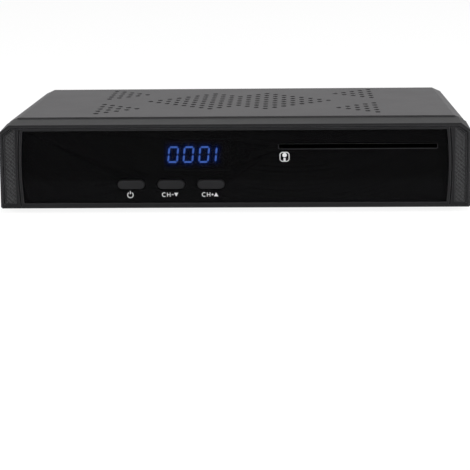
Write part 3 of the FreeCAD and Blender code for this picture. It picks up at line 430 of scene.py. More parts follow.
@dataclass(frozen=True)
class Metal:
    """Bare, plated or brushed metal.

    Attributes:
        brushed: How much finer its marks are along X, Y and Z.
        grain: Marks per metre.
        dull: Share of the colour that is left where it is dullest.
        uneven: How far the roughness strays either way.
    """

    name: str
    colour: Colour
    roughness: float
    brushed: Triple = (1.0, 1.0, 1.0)
    grain: float = 900.0
    depth: float = 0.01 * MM
    edge: float = 0.2 * MM
    dull: float = 0.86
    uneven: float = 0.08

    def make(self) -> bpy.types.Material:
        """Build the material.

        Returns:
            The material.
        """
        wiring = Wiring(self.name)
        lines = wiring.noise(wiring.place(scale=self.brushed), self.grain, SOME)
        tint = wiring.blend(lines, "Fac", shade(self.colour, self.dull), self.colour)
        wiring.feed(tint, "Color", "Base Color")
        wiring.spread(lines, self.roughness - self.uneven, self.roughness + self.uneven)
        wiring.constant("Metallic", 1.0)
        wiring.relief(lines, "Fac", self.depth, self.edge)
        return wiring.material


@dataclass(frozen=True)
class CircuitBoard:
    """Solder mask over copper tracks, laid like courses of bricks.

    Attributes:
        mask: Colour of the bare mask.
        copper: Colour of the mask over a track.
        run: Length between cross tracks, in pitches.
        track: Half the width of a track, in pitches.
        stagger: Shift of each second course, in runs.
        squash: Width of each second course, as a share of the first.
    """

    name: str
    mask: Colour
    copper: Colour
    pitch: float = 2.1 * MM
    run: float = 5.0
    track: float = 0.12
    stagger: float = 0.5
    squash: float = 0.7
    depth: float = 0.03 * MM
    roughness: float = 0.35

    def make(self) -> bpy.types.Material:
        """Build the material.

        Returns:
            The material.
        """
        wiring = Wiring(self.name)
        tracks = wiring.add("ShaderNodeTexBrick", offset=self.stagger, squash=self.squash, scale=1.0,
                            brick_width=self.pitch * self.run, row_height=self.pitch,
                            mortar_size=self.pitch * self.track)
        wiring.join(wiring.place(), 0, tracks, "Vector")
        tint = wiring.blend(tracks, "Fac", self.mask, self.copper, 0.0, 1.0)
        wiring.feed(tint, "Color", "Base Color")
        wiring.constant("Roughness", self.roughness)
        wiring.relief(tracks, "Fac", self.depth)
        return wiring.material


@dataclass(frozen=True)
class Lit:
    """Glowing plastic; the glow is uneven, as light spread by a diffuser is.

    Attributes:
        patches: Patches of light per metre.
        dim: Share of the colour where it is weakest.
    """

    name: str
    colour: Colour
    strength: float
    patches: float = 700.0
    dim: float = 0.8
    start: float = 0.2
    end: float = 0.7
    roughness: float = 0.4

    def make(self) -> bpy.types.Material:
        """Build the material.

        Returns:
            The material.
        """
        wiring = Wiring(self.name)
        cloud = wiring.noise(wiring.place(), self.patches, FEW)
        tint = wiring.blend(cloud, "Fac", shade(self.colour, self.dim), self.colour, self.start, self.end)
        wiring.feed(tint, "Color", "Emission Color")
        wiring.feed(tint, "Color", "Base Color")
        wiring.constant("Emission Strength", self.strength)
        wiring.constant("Roughness", self.roughness)
        return wiring.material


@dataclass(frozen=True)
class Halo:
    """Faint light round the lit digits, from the mesh's own glow attribute.

    Attributes:
        sheet: Colour of the unlit sheet.
    """

    name: str
    colour: Colour
    strength: float
    sheet: Colour = (0.002, 0.002, 0.002)
    roughness: float = 0.7

    def make(self) -> bpy.types.Material:
        """Build the material.

        Returns:
            The material.
        """
        wiring = Wiring(self.name)
        glow = wiring.add("ShaderNodeAttribute", attribute_name="glow")
        tint = wiring.blend(glow, "Fac", (0.0, 0.0, 0.0), self.colour, 0.0, 1.0)
        wiring.feed(tint, "Color", "Emission Color")
        wiring.constant("Emission Strength", self.strength)
        wiring.constant("Base Color", (*self.sheet, 1.0))
        wiring.constant("Roughness", self.roughness)
        wiring.constant("Specular IOR Level", 0.0)
        return wiring.material


class Finish(Enum):
    """Every finish on the receiver.

    After its colour a moulded finish has its roughness, specular level, grains per metre, relief, edge
    radius and mottle, and a metal has its roughness, brushing, marks per metre and relief.
    """

    # The bezel's paler edges are a painted highlight, standing in for light caught by its rounded rims
    BEZEL = Moulded("bezel_plastic", (0.0195, 0.0195, 0.0205), 0.46, 0.04, 3000.0, 0.00003, 0.0005, edge_highlight_share=2.4)
    CHEEK = CarbonWeave("cheek_twill", (0.012, 0.012, 0.0125), (0.054, 0.054, 0.056))
    WINDOW = SmokedWindow("smoked_window", (0.0020, 0.0020, 0.0023), (0.0042, 0.0042, 0.0047), 0.0152)
    BUTTON = Moulded("button_plastic", (0.0145, 0.0145, 0.0155), 0.45, 0.15, 3600.0, 0.00002, 0.0003)
    COVER = Moulded("cover_satin", (0.068, 0.066, 0.069), 0.50, 0.11, 1900.0, 0.00003, 0.0006, 0.05)
    PANEL = Moulded("panel_paint", (0.040, 0.040, 0.041), 0.5, 0.3, 1900.0, 0.00003, 0.0002, 0.06)
    # Black plastic of the parts behind the window, darkened far past the other black plastics as painted
    # shade of the recess
    BLACK_AND_PAINTED_SHADE = Moulded("black_with_painted_shade", (0.002, 0.002, 0.002), 0.7, 0.0, 2400.0, 0.00002, 0.0002)
    STEEL = Metal("zinc_steel", (0.46, 0.46, 0.47), 0.38, (1.0, 8.0, 1.0), 300.0)
    SCREW = Metal("black_screw", (0.10, 0.10, 0.105), 0.34)
    NICKEL = Metal("nickel_plating", (0.46, 0.445, 0.415), 0.24, (1.0, 1.0, 1.0), 500.0, 0.000002)
    ALUMINIUM = Metal("aluminium_fins", (0.72, 0.73, 0.74), 0.34, (8.0, 1.0, 1.0), 400.0)
    GOLD = Metal("contact_plating", (0.90, 0.66, 0.28), 0.22)
    RUBBER = Moulded("soft_rubber", (0.018, 0.018, 0.018), 0.75, 0.2, 1500.0, 0.00006, 0.0002)
    BOARD = CircuitBoard("board_mask", (0.010, 0.075, 0.030), (0.030, 0.150, 0.060))
    CHIP = Moulded("chip_resin", (0.014, 0.014, 0.015), 0.6, 0.25, 2400.0, 0.00002, 0.0001)
    BLACK = Moulded("socket_plastic", (0.016, 0.016, 0.017), 0.45, 0.3, 2400.0, 0.00002, 0.0002)
    WHITE = Moulded("header_plastic", (0.72, 0.71, 0.66), 0.5, 0.4, 2400.0, 0.00002, 0.0002, 0.04)
    SLEEVE = Moulded("capacitor_sleeve", (0.020, 0.022, 0.045), 0.35, 0.4, 1200.0, 0.00001, 0.0002)
    EYE = Moulded("eye_resin", (0.015, 0.004, 0.008), 0.15, 0.5, 400.0, 0.000005, 0.0001)
    DIGIT = Lit("lit_segment", (0.12, 0.28, 1.0), 4.3)
    HALO = Halo("digit_glow", (0.0, 0.10, 1.0), 0.6)
    INK = Moulded("printed_ink", (0.75, 0.75, 0.76), 0.5, 0.2, 1800.0, 0.000004, 0.0, 0.08)
    YELLOW = Moulded("phono_yellow", (0.75, 0.50, 0.03), 0.4, 0.4, 2400.0, 0.00002, 0.0002, 0.05)
    RED = Moulded("phono_red", (0.55, 0.02, 0.02), 0.4, 0.4, 2400.0, 0.00002, 0.0002, 0.05)
    GREEN_LENS = Moulded("green_lens", (0.04, 0.30, 0.06), 0.2, 0.5, 600.0, 0.00001, 0.0001, 0.05)
    AMBER_LENS = Moulded("amber_lens", (0.60, 0.28, 0.03), 0.2, 0.5, 600.0, 0.00001, 0.0001, 0.05)

    def material(self) -> bpy.types.Material:
        """The finish's material, built the first time that it is asked for.

        Returns:
            The material.
        """
        if self not in BUILT:
            BUILT[self] = self.value.make()
        return BUILT[self]


BUILT: dict[Finish, bpy.types.Material] = {}

NODE_FINISH = {
    Finish.BEZEL: ("front_bezel",),
    Finish.CHEEK: ("cheek_left", "cheek_right"),
    Finish.WINDOW: ("window_panel",),
    Finish.BUTTON: ("button_power", "button_down", "button_up"),
    Finish.COVER: ("top_cover",),
    Finish.PANEL: ("rear_panel",),
    Finish.STEEL: ("chassis_tray", "tuner_can"),
    Finish.SCREW: ("cover_screws", "panel_screws", "bezel_screws"),
    Finish.NICKEL: ("board_screws", "board_spacers", "front_screws", "phono_collars", "hdmi_socket",
                    "usb_socket", "network_socket", "f_socket_in", "f_socket_out", "f_nut_in",
                    "f_nut_out", "crystal"),
    Finish.ALUMINIUM: ("heatsink",),
    Finish.GOLD: ("card_contacts",),
    Finish.RUBBER: ("feet",),
    Finish.BOARD: ("main_board", "front_board", "card_board"),
    Finish.CHIP: ("processor", "memory_chips", "flash_chip", "regulators", "inductors",
                  "display_driver", "switch_bodies"),
    Finish.BLACK: ("phono_sockets", "optical_socket", "dc_inlet", "card_board_posts", "plunger_power",
                   "plunger_down", "plunger_up"),
    # These parts behind the window take black plastic darkened as painted shade
    Finish.BLACK_AND_PAINTED_SHADE: ("button_guide", "card_reader", "display_block"),
    Finish.WHITE: ("ribbon_headers", "ribbon_cable"),
    Finish.SLEEVE: ("capacitors",),
    Finish.EYE: ("remote_eye",),
    Finish.DIGIT: ("lit_digits",),
}


def dress_nodes() -> None:
    """Give every construction node its finish."""
    for finish, names in NODE_FINISH.items():
        for name in names:
            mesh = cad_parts[name].data
            mesh.materials.clear()
            mesh.materials.append(finish.material())
            LOG.info("dressed %s", name)


def add_piece(name: str, points: np.ndarray, faces: np.ndarray | list, finish: Finish,
              body: str = CASE, smooth: bool = False) -> bpy.types.Object:
    """Make a mesh object that rides on a body.

    Args:
        name: Name of the piece.
        points: Vertices, one row each.
        faces: Rows of vertex numbers.
        finish: The piece's finish.
        body: The body that it rides on.
        smooth: Whether its faces are shaded smooth.

    Returns:
        The new object.
    """
    mesh = bpy.data.meshes.new(name)
    rows = faces.tolist() if isinstance(faces, np.ndarray) else faces
    mesh.from_pydata(points.tolist(), [], rows)
    mesh.polygons.foreach_set("use_smooth", np.full(len(mesh.polygons), smooth))
    mesh.materials.append(finish.material())
    mesh.update()
    piece = bpy.data.objects.new(name, mesh)
    bpy.context.scene.collection.objects.link(piece)
    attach(piece, body)
    LOG.info("made %s with %d faces", name, len(mesh.polygons))
    return piece


def loft_faces(rows: int, columns: int) -> np.ndarray:
    """Quads of a surface that is closed round its columns.

    Quad (i, j) joins point j of row i to point j + 1, wrapping at the last column.

    Args:
        rows: Number of rows of points.
        columns: Points in each row.

    Returns:
        Rows of four vertex numbers.
    """
    i, j = np.meshgrid(np.arange(rows - 1), np.arange(columns), indexing="ij")
    after = (j + 1) % columns
    near = i * columns
    far = near + columns
    return np.stack([near + j, near + after, far + after, far + j], -1).reshape(-1, 4)


def grid_corners(rows: int, columns: int) -> np.ndarray:
    """Number of the first point of each cell of an open grid, row after row."""
    i, j = np.meshgrid(np.arange(rows - 1), np.arange(columns - 1), indexing="ij")
    return (i * columns + j).ravel()


def extruded(profile: np.ndarray, low: float, high: float) -> tuple[np.ndarray, list[list[int]]]:
    """A closed outline in Y and Z carried straight along X, with both ends filled.

    Args:
        profile: (y, z) rows, anticlockwise seen from +X.
        low: X of the first end.
        high: X of the last end.

    Returns:
        Points, and faces as lists of their numbers.
    """
    count = len(profile)
    points = np.vstack([np.column_stack([np.full(count, x), profile]) for x in (low, high)])
    faces = loft_faces(2, count).tolist()
    faces.append(list(range(count))[::-1])
    faces.append(list(range(count, 2 * count)))
    return points, faces


def pillow(middle: Vector, half_x: float, half_z: float, rise: float,
           steps: int = 9) -> tuple[np.ndarray, list[list[int]]]:
    """Low dome on a plane that faces the rear, closed by a flat back.

    With u and v from -1 to 1 across it, it stands off the plane by rise (1 - u^4)(1 - v^4).

    Args:
        middle: Middle of its back.
        half_x: Half its width.
        half_z: Half its height.
        rise: Height of the dome.
        steps: Points along each side.

    Returns:
        Points, and faces as lists of their numbers.
    """
    span = np.linspace(-1.0, 1.0, steps)
    u, v = np.meshgrid(span, span)
    stand = rise * (1.0 - u ** 4) * (1.0 - v ** 4)
    x = middle.x + half_x * u.ravel()
    z = middle.z + half_z * v.ravel()
    points = np.column_stack([x, middle.y + stand.ravel(), z])
    start = grid_corners(steps, steps)
    faces = np.column_stack([start, start + steps, start + steps + 1, start + 1]).tolist()
    run = np.arange(steps - 1)
    last = steps - 1
    border = np.concatenate([run, last + steps * run, steps * steps - 1 - run, steps * (last - run)])
    faces.append(border.tolist())
    return points, faces


def turned(radii: np.ndarray, depths: np.ndarray, x: float, z: float, steps: int) -> np.ndarray:
    """Points of a surface turned about an axis along Y.

    The point of row i and angle a is (x + r sin a, y, z + r cos a) with that row's radius and depth.

    Args:
        radii: Radius of each row, or of each point of each row.
        depths: Y of each row.
        x: X of the axis.
        z: Z of the axis.
        steps: Points round the axis.

    Returns:
        Points, row after row.
    """
    angle = np.linspace(0.0, 2.0 * math.pi, steps, endpoint=False)
    r = radii.reshape(len(depths), -1)
    y = np.broadcast_to(depths.reshape(-1, 1), (len(depths), steps))
    return np.stack([x + r * np.sin(angle), y, z + r * np.cos(angle)], -1).reshape(-1, 3)


@dataclass
class Strokes:
    """Printed marks made of strokes of even width on a plane that faces the front.

    Attributes:
        depth: Y of the printed face.
        width: Width of a stroke.
        thick: Height of the ink.
    """

    depth: float
    width: float
    thick: float = 0.03 * MM
    arc_points: int = 25
    points: list[np.ndarray] = field(default_factory=list)
    faces: list[list[int]] = field(default_factory=list)

    def outline(self, corners: np.ndarray) -> None:
        """Raise a convex outline: its front face and its sides.

        Args:
            corners: (x, z) rows, anticlockwise seen from the front.
        """
        count = len(corners)
        first = sum(len(block) for block in self.points)
        front = np.column_stack([corners[:, 0], np.full(count, self.depth - self.thick), corners[:, 1]])
        back = front + np.array([0.0, self.thick, 0.0])
        self.points.append(np.vstack([front, back]))
        numbers = np.arange(count)
        after = (numbers + 1) % count
        self.faces.append((numbers + first).tolist())
        sides = np.stack([numbers, numbers + count, after + count, after], -1) + first
        self.faces.extend(sides.tolist())

    def line(self, path: np.ndarray) -> None:
        """Stroke a path: at each point two edges stand off by half the width along the mean normal.

        Args:
            path: (x, z) rows.
        """
        step = np.gradient(path, axis=0)
        step /= np.linalg.norm(step, axis=1, keepdims=True)
        off = np.column_stack([-step[:, 1], step[:, 0]]) * self.width / 2
        left = path + off
        right = path - off
        for corners in np.stack([right[:-1], right[1:], left[1:], left[:-1]], axis=1):
            self.outline(corners)

    def segment(self, start: Pair, end: Pair) -> None:
        """Stroke a straight line from one (x, z) to another."""
        self.line(np.array([start, end]))

    def arc(self, x: float, z: float, radius: float, sweep: Pair) -> None:
        """Stroke an arc from one angle to another, in degrees anticlockwise from the right."""
        angle = np.radians(np.linspace(*sweep, self.arc_points))
        self.line(np.column_stack([x + radius * np.cos(angle), z + radius * np.sin(angle)]))

    def piece(self, name: str) -> None:
        """Make the marks one piece of the case."""
        add_piece(name, np.vstack(self.points), self.faces, Finish.INK)


@dataclass
class ButtonMarks:
    """Printed function marks below the three buttons.

    Attributes:
        height: Z of the middle of the marks, above the base.
        power_left: How far left of its button the power mark is.
        power_low: How far below the others its ring is.
        power_bar: Foot and head of its bar, above the marks' middle.
        word_left: How far left of its button a word starts.
        c_share: Radius of the C as a share of half a letter.
        h_left: Start of the H from the start of the word.
        sign_gap: From the H to the middle of the sign.
        arrow_gap: From the sign to the middle of the arrow.
        arrow_foot: How far its foot is from its middle.
        arrow_head: How far its head is from its middle.
        level: Z of the middle of the marks.
    """

    height: float = 6.35 * MM
    power_stroke: float = 0.36 * MM
    power_left: float = 0.4 * MM
    power_low: float = 0.1 * MM
    power_radius: float = 1.30 * MM
    power_sweep: Pair = (120.0, 420.0)
    power_bar: Pair = (0.35 * MM, 1.75 * MM)
    stroke: float = 0.32 * MM
    letter: float = 1.95 * MM
    word_left: float = 4.2 * MM
    c_share: float = 0.92
    c_sweep: Pair = (52.0, 308.0)
    h_left: float = 2.45 * MM
    h_wide: float = 1.3 * MM
    sign_gap: float = 1.15 * MM
    sign_half: float = 0.48 * MM
    arrow_gap: float = 1.7 * MM
    arrow_half: float = 1.0 * MM
    arrow_foot: float = 0.88 * MM
    arrow_head: float = 0.92 * MM
    face: float = field(init=False)
    level: float = field(init=False)

    def __post_init__(self) -> None:
        """Take the printed plane and the marks' level from the frame."""
        self.face = node_box("window_panel")[0].y
        self.level = node_box("front_bezel")[0].z + self.height

    def build(self) -> None:
        """Print the marks."""
        self.power(centre(node_box("button_power")).x)
        self.channel("mark_down", centre(node_box("button_down")).x, False)
        self.channel("mark_up", centre(node_box("button_up")).x, True)

    def power(self, middle: float) -> None:
        """Ring that is open at the top, with an upright bar.

        Args:
            middle: X of the button above.
        """
        ink = Strokes(self.face, self.power_stroke)
        x = middle - self.power_left
        foot, head = self.power_bar
        ink.arc(x, self.level - self.power_low, self.power_radius, self.power_sweep)
        ink.segment((x, self.level + foot), (x, self.level + head))
        ink.piece("mark_power")

    def channel(self, name: str, middle: float, up: bool) -> None:
        """The letters C and H, a minus or plus sign, and an arrow.

        Args:
            name: Name of the piece.
            middle: X of the button above.
            up: Whether it is the plus sign with the arrow up.
        """
        ink = Strokes(self.face, self.stroke)
        z = self.level
        half = self.letter / 2
        left = middle - self.word_left
        ink.arc(left + half, z, half * self.c_share, self.c_sweep)
        h_left = left + self.h_left
        h_right = h_left + self.h_wide
        for x in (h_left, h_right):
            ink.segment((x, z - half), (x, z + half))
        ink.segment((h_left, z), (h_right, z))
        sign = h_right + self.sign_gap
        ink.segment((sign - self.sign_half, z), (sign + self.sign_half, z))
        if up:
            ink.segment((sign, z - self.sign_half), (sign, z + self.sign_half))
        arrow = np.array([[-self.arrow_half, -self.arrow_foot], [self.arrow_half, -self.arrow_foot],
                          [0.0, self.arrow_head]])
        way = 1.0 if up else -1.0
        ink.outline(way * arrow + np.array([sign + self.arrow_gap, z]))
        ink.piece(name)


@dataclass
class CardMark:
    """Printed card beside the card slot: a cut-cornered outline with a disc and a bar inside.

    Attributes:
        low: Z of its foot, above the base.
        high: Z of its head, above the base.
        disc_drop: From the head to the middle of the disc.
        bar_lift: From the foot to the bar.
    """

    left: float = 21.4 * MM
    right: float = 25.6 * MM
    low: float = 21.9 * MM
    high: float = 26.1 * MM
    cut: float = 0.8 * MM
    stroke: float = 0.36 * MM
    disc: float = 1.05 * MM
    disc_drop: float = 1.3 * MM
    disc_points: int = 12
    bar_half: float = 0.5 * MM
    bar_height: float = 1.4 * MM
    bar_lift: float = 0.2 * MM

    def build(self) -> None:
        """Print the mark."""
        ink = Strokes(node_box("window_panel")[0].y, self.stroke)
        base = node_box("front_bezel")[0].z
        left, right = self.left, self.right
        low, high = base + self.low, base + self.high
        ring = [(left + self.cut, low), (right - self.cut, low), (right, low + self.cut),
                (right, high - self.cut), (right - self.cut, high), (left + self.cut, high),
                (left, high - self.cut), (left, low + self.cut)]
        for start, end in zip(ring, ring[1:] + ring[:1]):
            ink.segment(start, end)
        angle = np.linspace(0.0, 2.0 * math.pi, self.disc_points, endpoint=False)
        disc = np.column_stack([np.cos(angle), np.sin(angle)]) * self.disc
        middle = (left + right) / 2
        ink.outline(disc + np.array([middle, high - self.disc_drop]))
        half = self.bar_half
        bar = np.array([[-half, 0.0], [half, 0.0], [half, self.bar_height], [-half, self.bar_height]])
        ink.outline(bar + np.array([middle, low + self.bar_lift]))
        ink.piece("mark_card")


@dataclass
class SlotTrim:
    """Raised bead round the card slot in the window.

    Attributes:
        middle: Z of its middle, above the base.
        low_radius: Radius of the bead along the slot's lower lip.
        top_radius: Radius of the bead along the slot's top.
        corner: Radius of the ring's corners.
        grow: How far outside the slot the bead's middle runs.
    """

    left: float = 20.8 * MM
    right: float = 94.4 * MM
    middle: float = 28.85 * MM
    height: float = 2.3 * MM
    low_radius: float = 0.17 * MM
    top_radius: float = 0.05 * MM
    corner: float = 0.5 * MM
    grow: float = 0.02 * MM
    steps: int = 8
    corner_steps: int = 7

    def build(self) -> None:
        """A round bead carried along a rounded rectangle.

        At each point of the ring the section is (r cos a) across the ring and (r sin a) to the front.
        """
        level = node_box("front_bezel")[0].z + self.middle
        face = node_box("window_panel")[0].y
        half_x = (self.right - self.left) / 2 + self.grow - self.corner
        half_z = self.height / 2 + self.grow - self.corner
        middle_x = (self.left + self.right) / 2
        turn = np.linspace(0.0, math.pi / 2, self.corner_steps)
        angle = np.concatenate([turn + quarter * math.pi / 2 for quarter in range(4)])
        signs = np.repeat(np.array([[1, 1], [-1, 1], [-1, -1], [1, -1]]), self.corner_steps, axis=0)
        normal = np.column_stack([np.cos(angle), np.sin(angle)])
        ring = signs * np.array([half_x, half_z]) + normal * self.corner + np.array([middle_x, level])
        sweep = np.linspace(0.0, 2.0 * math.pi, self.steps, endpoint=False)
        share = np.clip((ring[:, 1:] - level) / self.height + 0.5, 0.0, 1.0)
        radius = self.low_radius + (self.top_radius - self.low_radius) * share
        across = radius * np.cos(sweep)
        x = ring[:, :1] + normal[:, :1] * across
        z = ring[:, 1:] + normal[:, 1:] * across
        y = np.broadcast_to(face - radius * np.sin(sweep), x.shape)
        points = np.stack([x, y, z], -1).reshape(-1, 3)
        faces = loft_faces(len(ring) + 1, self.steps) % len(points)
        add_piece("slot_trim", points, faces, Finish.BEZEL, smooth=True)


@dataclass
class DigitHalo:
    """Sheet of faint light in the plane of the lit digits.

    Attributes:
        reach: Distance over which the glow fades to about a third.
        margin: How far the sheet runs past the digits.
        inset: How far the sheet is in front of the digits' backs.
    """

    reach: float = 0.7 * MM
    margin: float = 2.6 * MM
    inset: float = 0.02 * MM
    columns: int = 150
    rows: int = 60

    def build(self) -> None:
        """Glow at a point is exp(-d / reach), d being its distance to the nearest segment's edge."""
        low, high = node_box("lit_digits")
        x = np.linspace(low.x - self.margin, high.x + self.margin, self.columns)
        z = np.linspace(low.z - self.margin, high.z + self.margin, self.rows)
        grid_x, grid_z = np.meshgrid(x, z)
        depth = np.full(grid_x.size, high.y - self.inset)
        points = np.column_stack([grid_x.ravel(), depth, grid_z.ravel()])
        nearest = self.distance(points[:, [0, 2]], self.segment_edges(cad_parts["lit_digits"].data))
        glow = np.exp(-nearest / self.reach)
        start = grid_corners(self.rows, self.columns)
        faces = np.column_stack([start, start + 1, start + 1 + self.columns, start + self.columns])
        piece = add_piece("digit_halo", points, faces, Finish.HALO)
        layer = piece.data.attributes.new("glow", "FLOAT", "POINT")
        layer.data.foreach_set("value", glow.astype(np.float32))

    @staticmethod
    def segment_edges(mesh: bpy.types.Mesh) -> np.ndarray:
        """Edges of the digits' front faces.

        Args:
            mesh: Mesh of the lit digits.

        Returns:
            Rows of x, z of one end and x, z of the other.
        """
        corners = np.empty(len(mesh.vertices) * 3)
        mesh.vertices.foreach_get("co", corners)
        corners = corners.reshape(-1, 3)
        pairs = np.empty(len(mesh.edges) * 2, dtype=np.int32)
        mesh.edges.foreach_get("vertices", pairs)
        pairs = pairs.reshape(-1, 2)
        front = corners[:, 1] < corners[:, 1].min() + SAME_PLANE
        keep = front[pairs].all(axis=1)
        return corners[pairs[keep]][:, :, [0, 2]].reshape(-1, 4)

    @staticmethod
    def distance(points: np.ndarray, lines: np.ndarray) -> np.ndarray:
        """Least distance from points to lines: the foot of the perpendicular, held to the line's ends.

        Args:
            points: (x, z) rows.
            lines: Rows of two ends.

        Returns:
            One distance for each point.
        """
        start = lines[None, :, :2]
        along = lines[None, :, 2:] - start
        offset = points[:, None, :] - start
        length = np.maximum((along ** 2).sum(-1), LEAST_SQUARE)
        share = np.clip((offset * along).sum(-1) / length, 0.0, 1.0)
        foot = offset - share[..., None] * along
        return np.sqrt((foot ** 2).sum(-1)).min(axis=1)


@dataclass
class AerialThread:
    """Threaded aerial socket in place of a plain sleeve.

    Attributes:
        pitch: Distance between turns of the thread.
        height: Height of the thread's ridge.
        plain: Length at the tip that has no thread.
        bore: Radius of the hole for the wire.
        dish: How much wider the dish round the hole is.
        turn_rows: Rows of points in one turn of the thread.
    """

    pitch: float = 0.79 * MM
    height: float = 0.42 * MM
    radius: float = 4.75 * MM
    plain: float = 0.3 * MM
    bore: float = 1.0 * MM
    dish: float = 1.3 * MM
    dish_deep: float = 0.5 * MM
    bore_deep: float = 7.0 * MM
    steps: int = 48
    turn_rows: int = 8

    def build(self, node: str, nut: str) -> None:
        """Make the thread over one socket.

        The surface is a tube whose radius falls by height times a triangle wave of
        y / pitch + angle / a full turn, which makes one continuous ridge.

        Args:
            node: The socket's node.
            nut: The nut at whose outer face the thread starts.
        """
        low, high = node_box(node)
        middle = centre((low, high))
        start = node_box(nut)[1].y
        tip = high.y
        turns = (tip - start) / self.pitch
        depths = np.linspace(start, tip - self.plain, int(turns * self.turn_rows))
        share = np.linspace(0.0, 1.0, self.steps, endpoint=False)
        phase = (depths[:, None] / self.pitch + share) % 1.0
        thread = self.radius - self.height * np.abs(2.0 * phase - 1.0)
        collar = np.full((2, self.steps), (high.x - low.x) / 2)
        rim = self.bore + self.dish
        tail = np.array([self.radius - self.height, rim, rim, self.bore, self.bore])
        tail_depths = tip - np.array([0.0, 0.0, self.dish_deep, self.dish_deep, self.bore_deep])
        radii = np.vstack([collar, thread, np.repeat(tail[:, None], self.steps, axis=1)])
        rows = np.concatenate([[low.y, start], depths, tail_depths])
        points = turned(radii, rows, middle.x, middle.z, self.steps)
        faces = loft_faces(len(rows), self.steps).tolist()
        faces.append(list(range(self.steps))[::-1])
        faces.append(list(range(len(points) - self.steps, len(points))))
        piece = add_piece(node + "_thread", points, faces, Finish.NICKEL, smooth=True)
        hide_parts(node)


@dataclass
class SocketTongue:
    """Black insulator round a socket's tongue, with a row of flat contacts on its lower face.

    Attributes:
        low: Bottom of the tongue above the socket's lower face.
        high: Top of the tongue above it.
        gap: Space from the wall to the tongue.
        back: From the socket's mouth to the tongue's root.
        front: From the socket's mouth to the start of the tongue's nose.
        skin: Thickness of the insulator's cover and of a contact.
        row: Width of the row of contacts, in halves of the tongue's width.
    """

    node: str
    name: str
    low: float
    high: float
    contacts: int
    contact: float
    wall: float = 0.6 * MM
    gap: float = 1.4 * MM
    back: float = 9.9 * MM
    front: float = 1.5 * MM
    skin: float = 0.06 * MM
    row: float = 1.7
    nose_points: int = 9

    def build(self) -> None:
        """Make the insulator and its contacts.

        The insulator's outline is a half circle in front of two straight sides.
        """
        low, high = node_box(self.node)
        middle = (low.x + high.x) / 2
        half = (high.x - low.x) / 2 - self.wall - self.gap + self.skin
        bottom = low.z + self.low - self.skin
        top = low.z + self.high + self.skin
        back = high.y - self.back
        front = high.y - self.front
        radius = (top - bottom) / 2
        angle = np.linspace(-math.pi / 2, math.pi / 2, self.nose_points)
        level = (top + bottom) / 2
        nose = np.column_stack([front + radius * np.cos(angle), level + radius * np.sin(angle)])
        profile = np.vstack([[[back, bottom]], nose, [[back, top]]])
        points, faces = extruded(profile, middle - half, middle + half)
        add_piece(self.name + "_tongue", points, faces, Finish.BLACK)
        pitch = self.row * half / self.contacts
        under = bottom - self.skin
        strip = np.array([[back, under], [front, under], [front, bottom], [back, bottom]])
        blocks = []
        rows = []
        for index in range(self.contacts):
            x = middle + (index - (self.contacts - 1) / 2) * pitch
            spots, sides = extruded(strip, x - self.contact / 2, x + self.contact / 2)
            rows.extend([[number + len(spots) * index for number in side] for side in sides])
            blocks.append(spots)
        add_piece(self.name + "_contacts", np.vstack(blocks), rows, Finish.GOLD)


@dataclass
class PhonoRings:
    """Coloured collars round the three phono sockets.

    Attributes:
        gap: Space between a socket's sleeve and its ring.
        wide: From the sleeve to the ring's outside.
        bevel: Width of the bevel at the ring's rear edge.
        start: From the root of the sleeves to the ring.
        straight: Length of the ring's straight side.
    """

    gap: float = 0.06 * MM
    wide: float = 1.1 * MM
    bevel: float = 0.3 * MM
    start: float = 0.02 * MM
    straight: float = 1.1 * MM
    length: float = 1.5 * MM
    steps: int = 48

    def build(self) -> None:
        """Make the rings, from the left as seen from behind."""
        low, high = node_box("phono_collars")
        outer = (high.z - low.z) / 2
        pitch = (high.x - low.x - 2 * outer) / 2
        inner = outer + self.gap
        rim = outer + self.wide
        radii = np.array([inner, rim, rim, rim - self.bevel, inner, inner])
        depths = low.y + self.start + np.array([0.0, 0.0, self.straight, self.length, self.length, 0.0])
        faces = loft_faces(len(depths), self.steps)
        colours = (("red", Finish.RED), ("white", Finish.WHITE), ("yellow", Finish.YELLOW))
        for index, (name, finish) in enumerate(colours):
            x = high.x - outer - index * pitch
            points = turned(radii, depths, x, (low.z + high.z) / 2, self.steps)
            add_piece("phono_ring_" + name, points, faces, finish)


@dataclass
class NetworkLenses:
    """Two indicator lenses in the lower wall of the network socket.

    Attributes:
        apart: From the socket's middle to the middle of a lens.
        height: Z of their middle, above the socket's lower face.
    """

    apart: float = 5.0 * MM
    height: float = 1.05 * MM
    half_wide: float = 1.6 * MM
    half_high: float = 0.7 * MM
    rise: float = 0.25 * MM

    def build(self) -> None:
        """Make both lenses."""
        low, high = node_box("network_socket")
        for name, side, finish in (("link", -1.0, Finish.GREEN_LENS), ("data", 1.0, Finish.AMBER_LENS)):
            spot = Vector(((low.x + high.x) / 2 + side * self.apart, high.y, low.z + self.height))
            points, faces = pillow(spot, self.half_wide, self.half_high, self.rise)
            add_piece("network_lens_" + name, points, faces, finish, smooth=True)


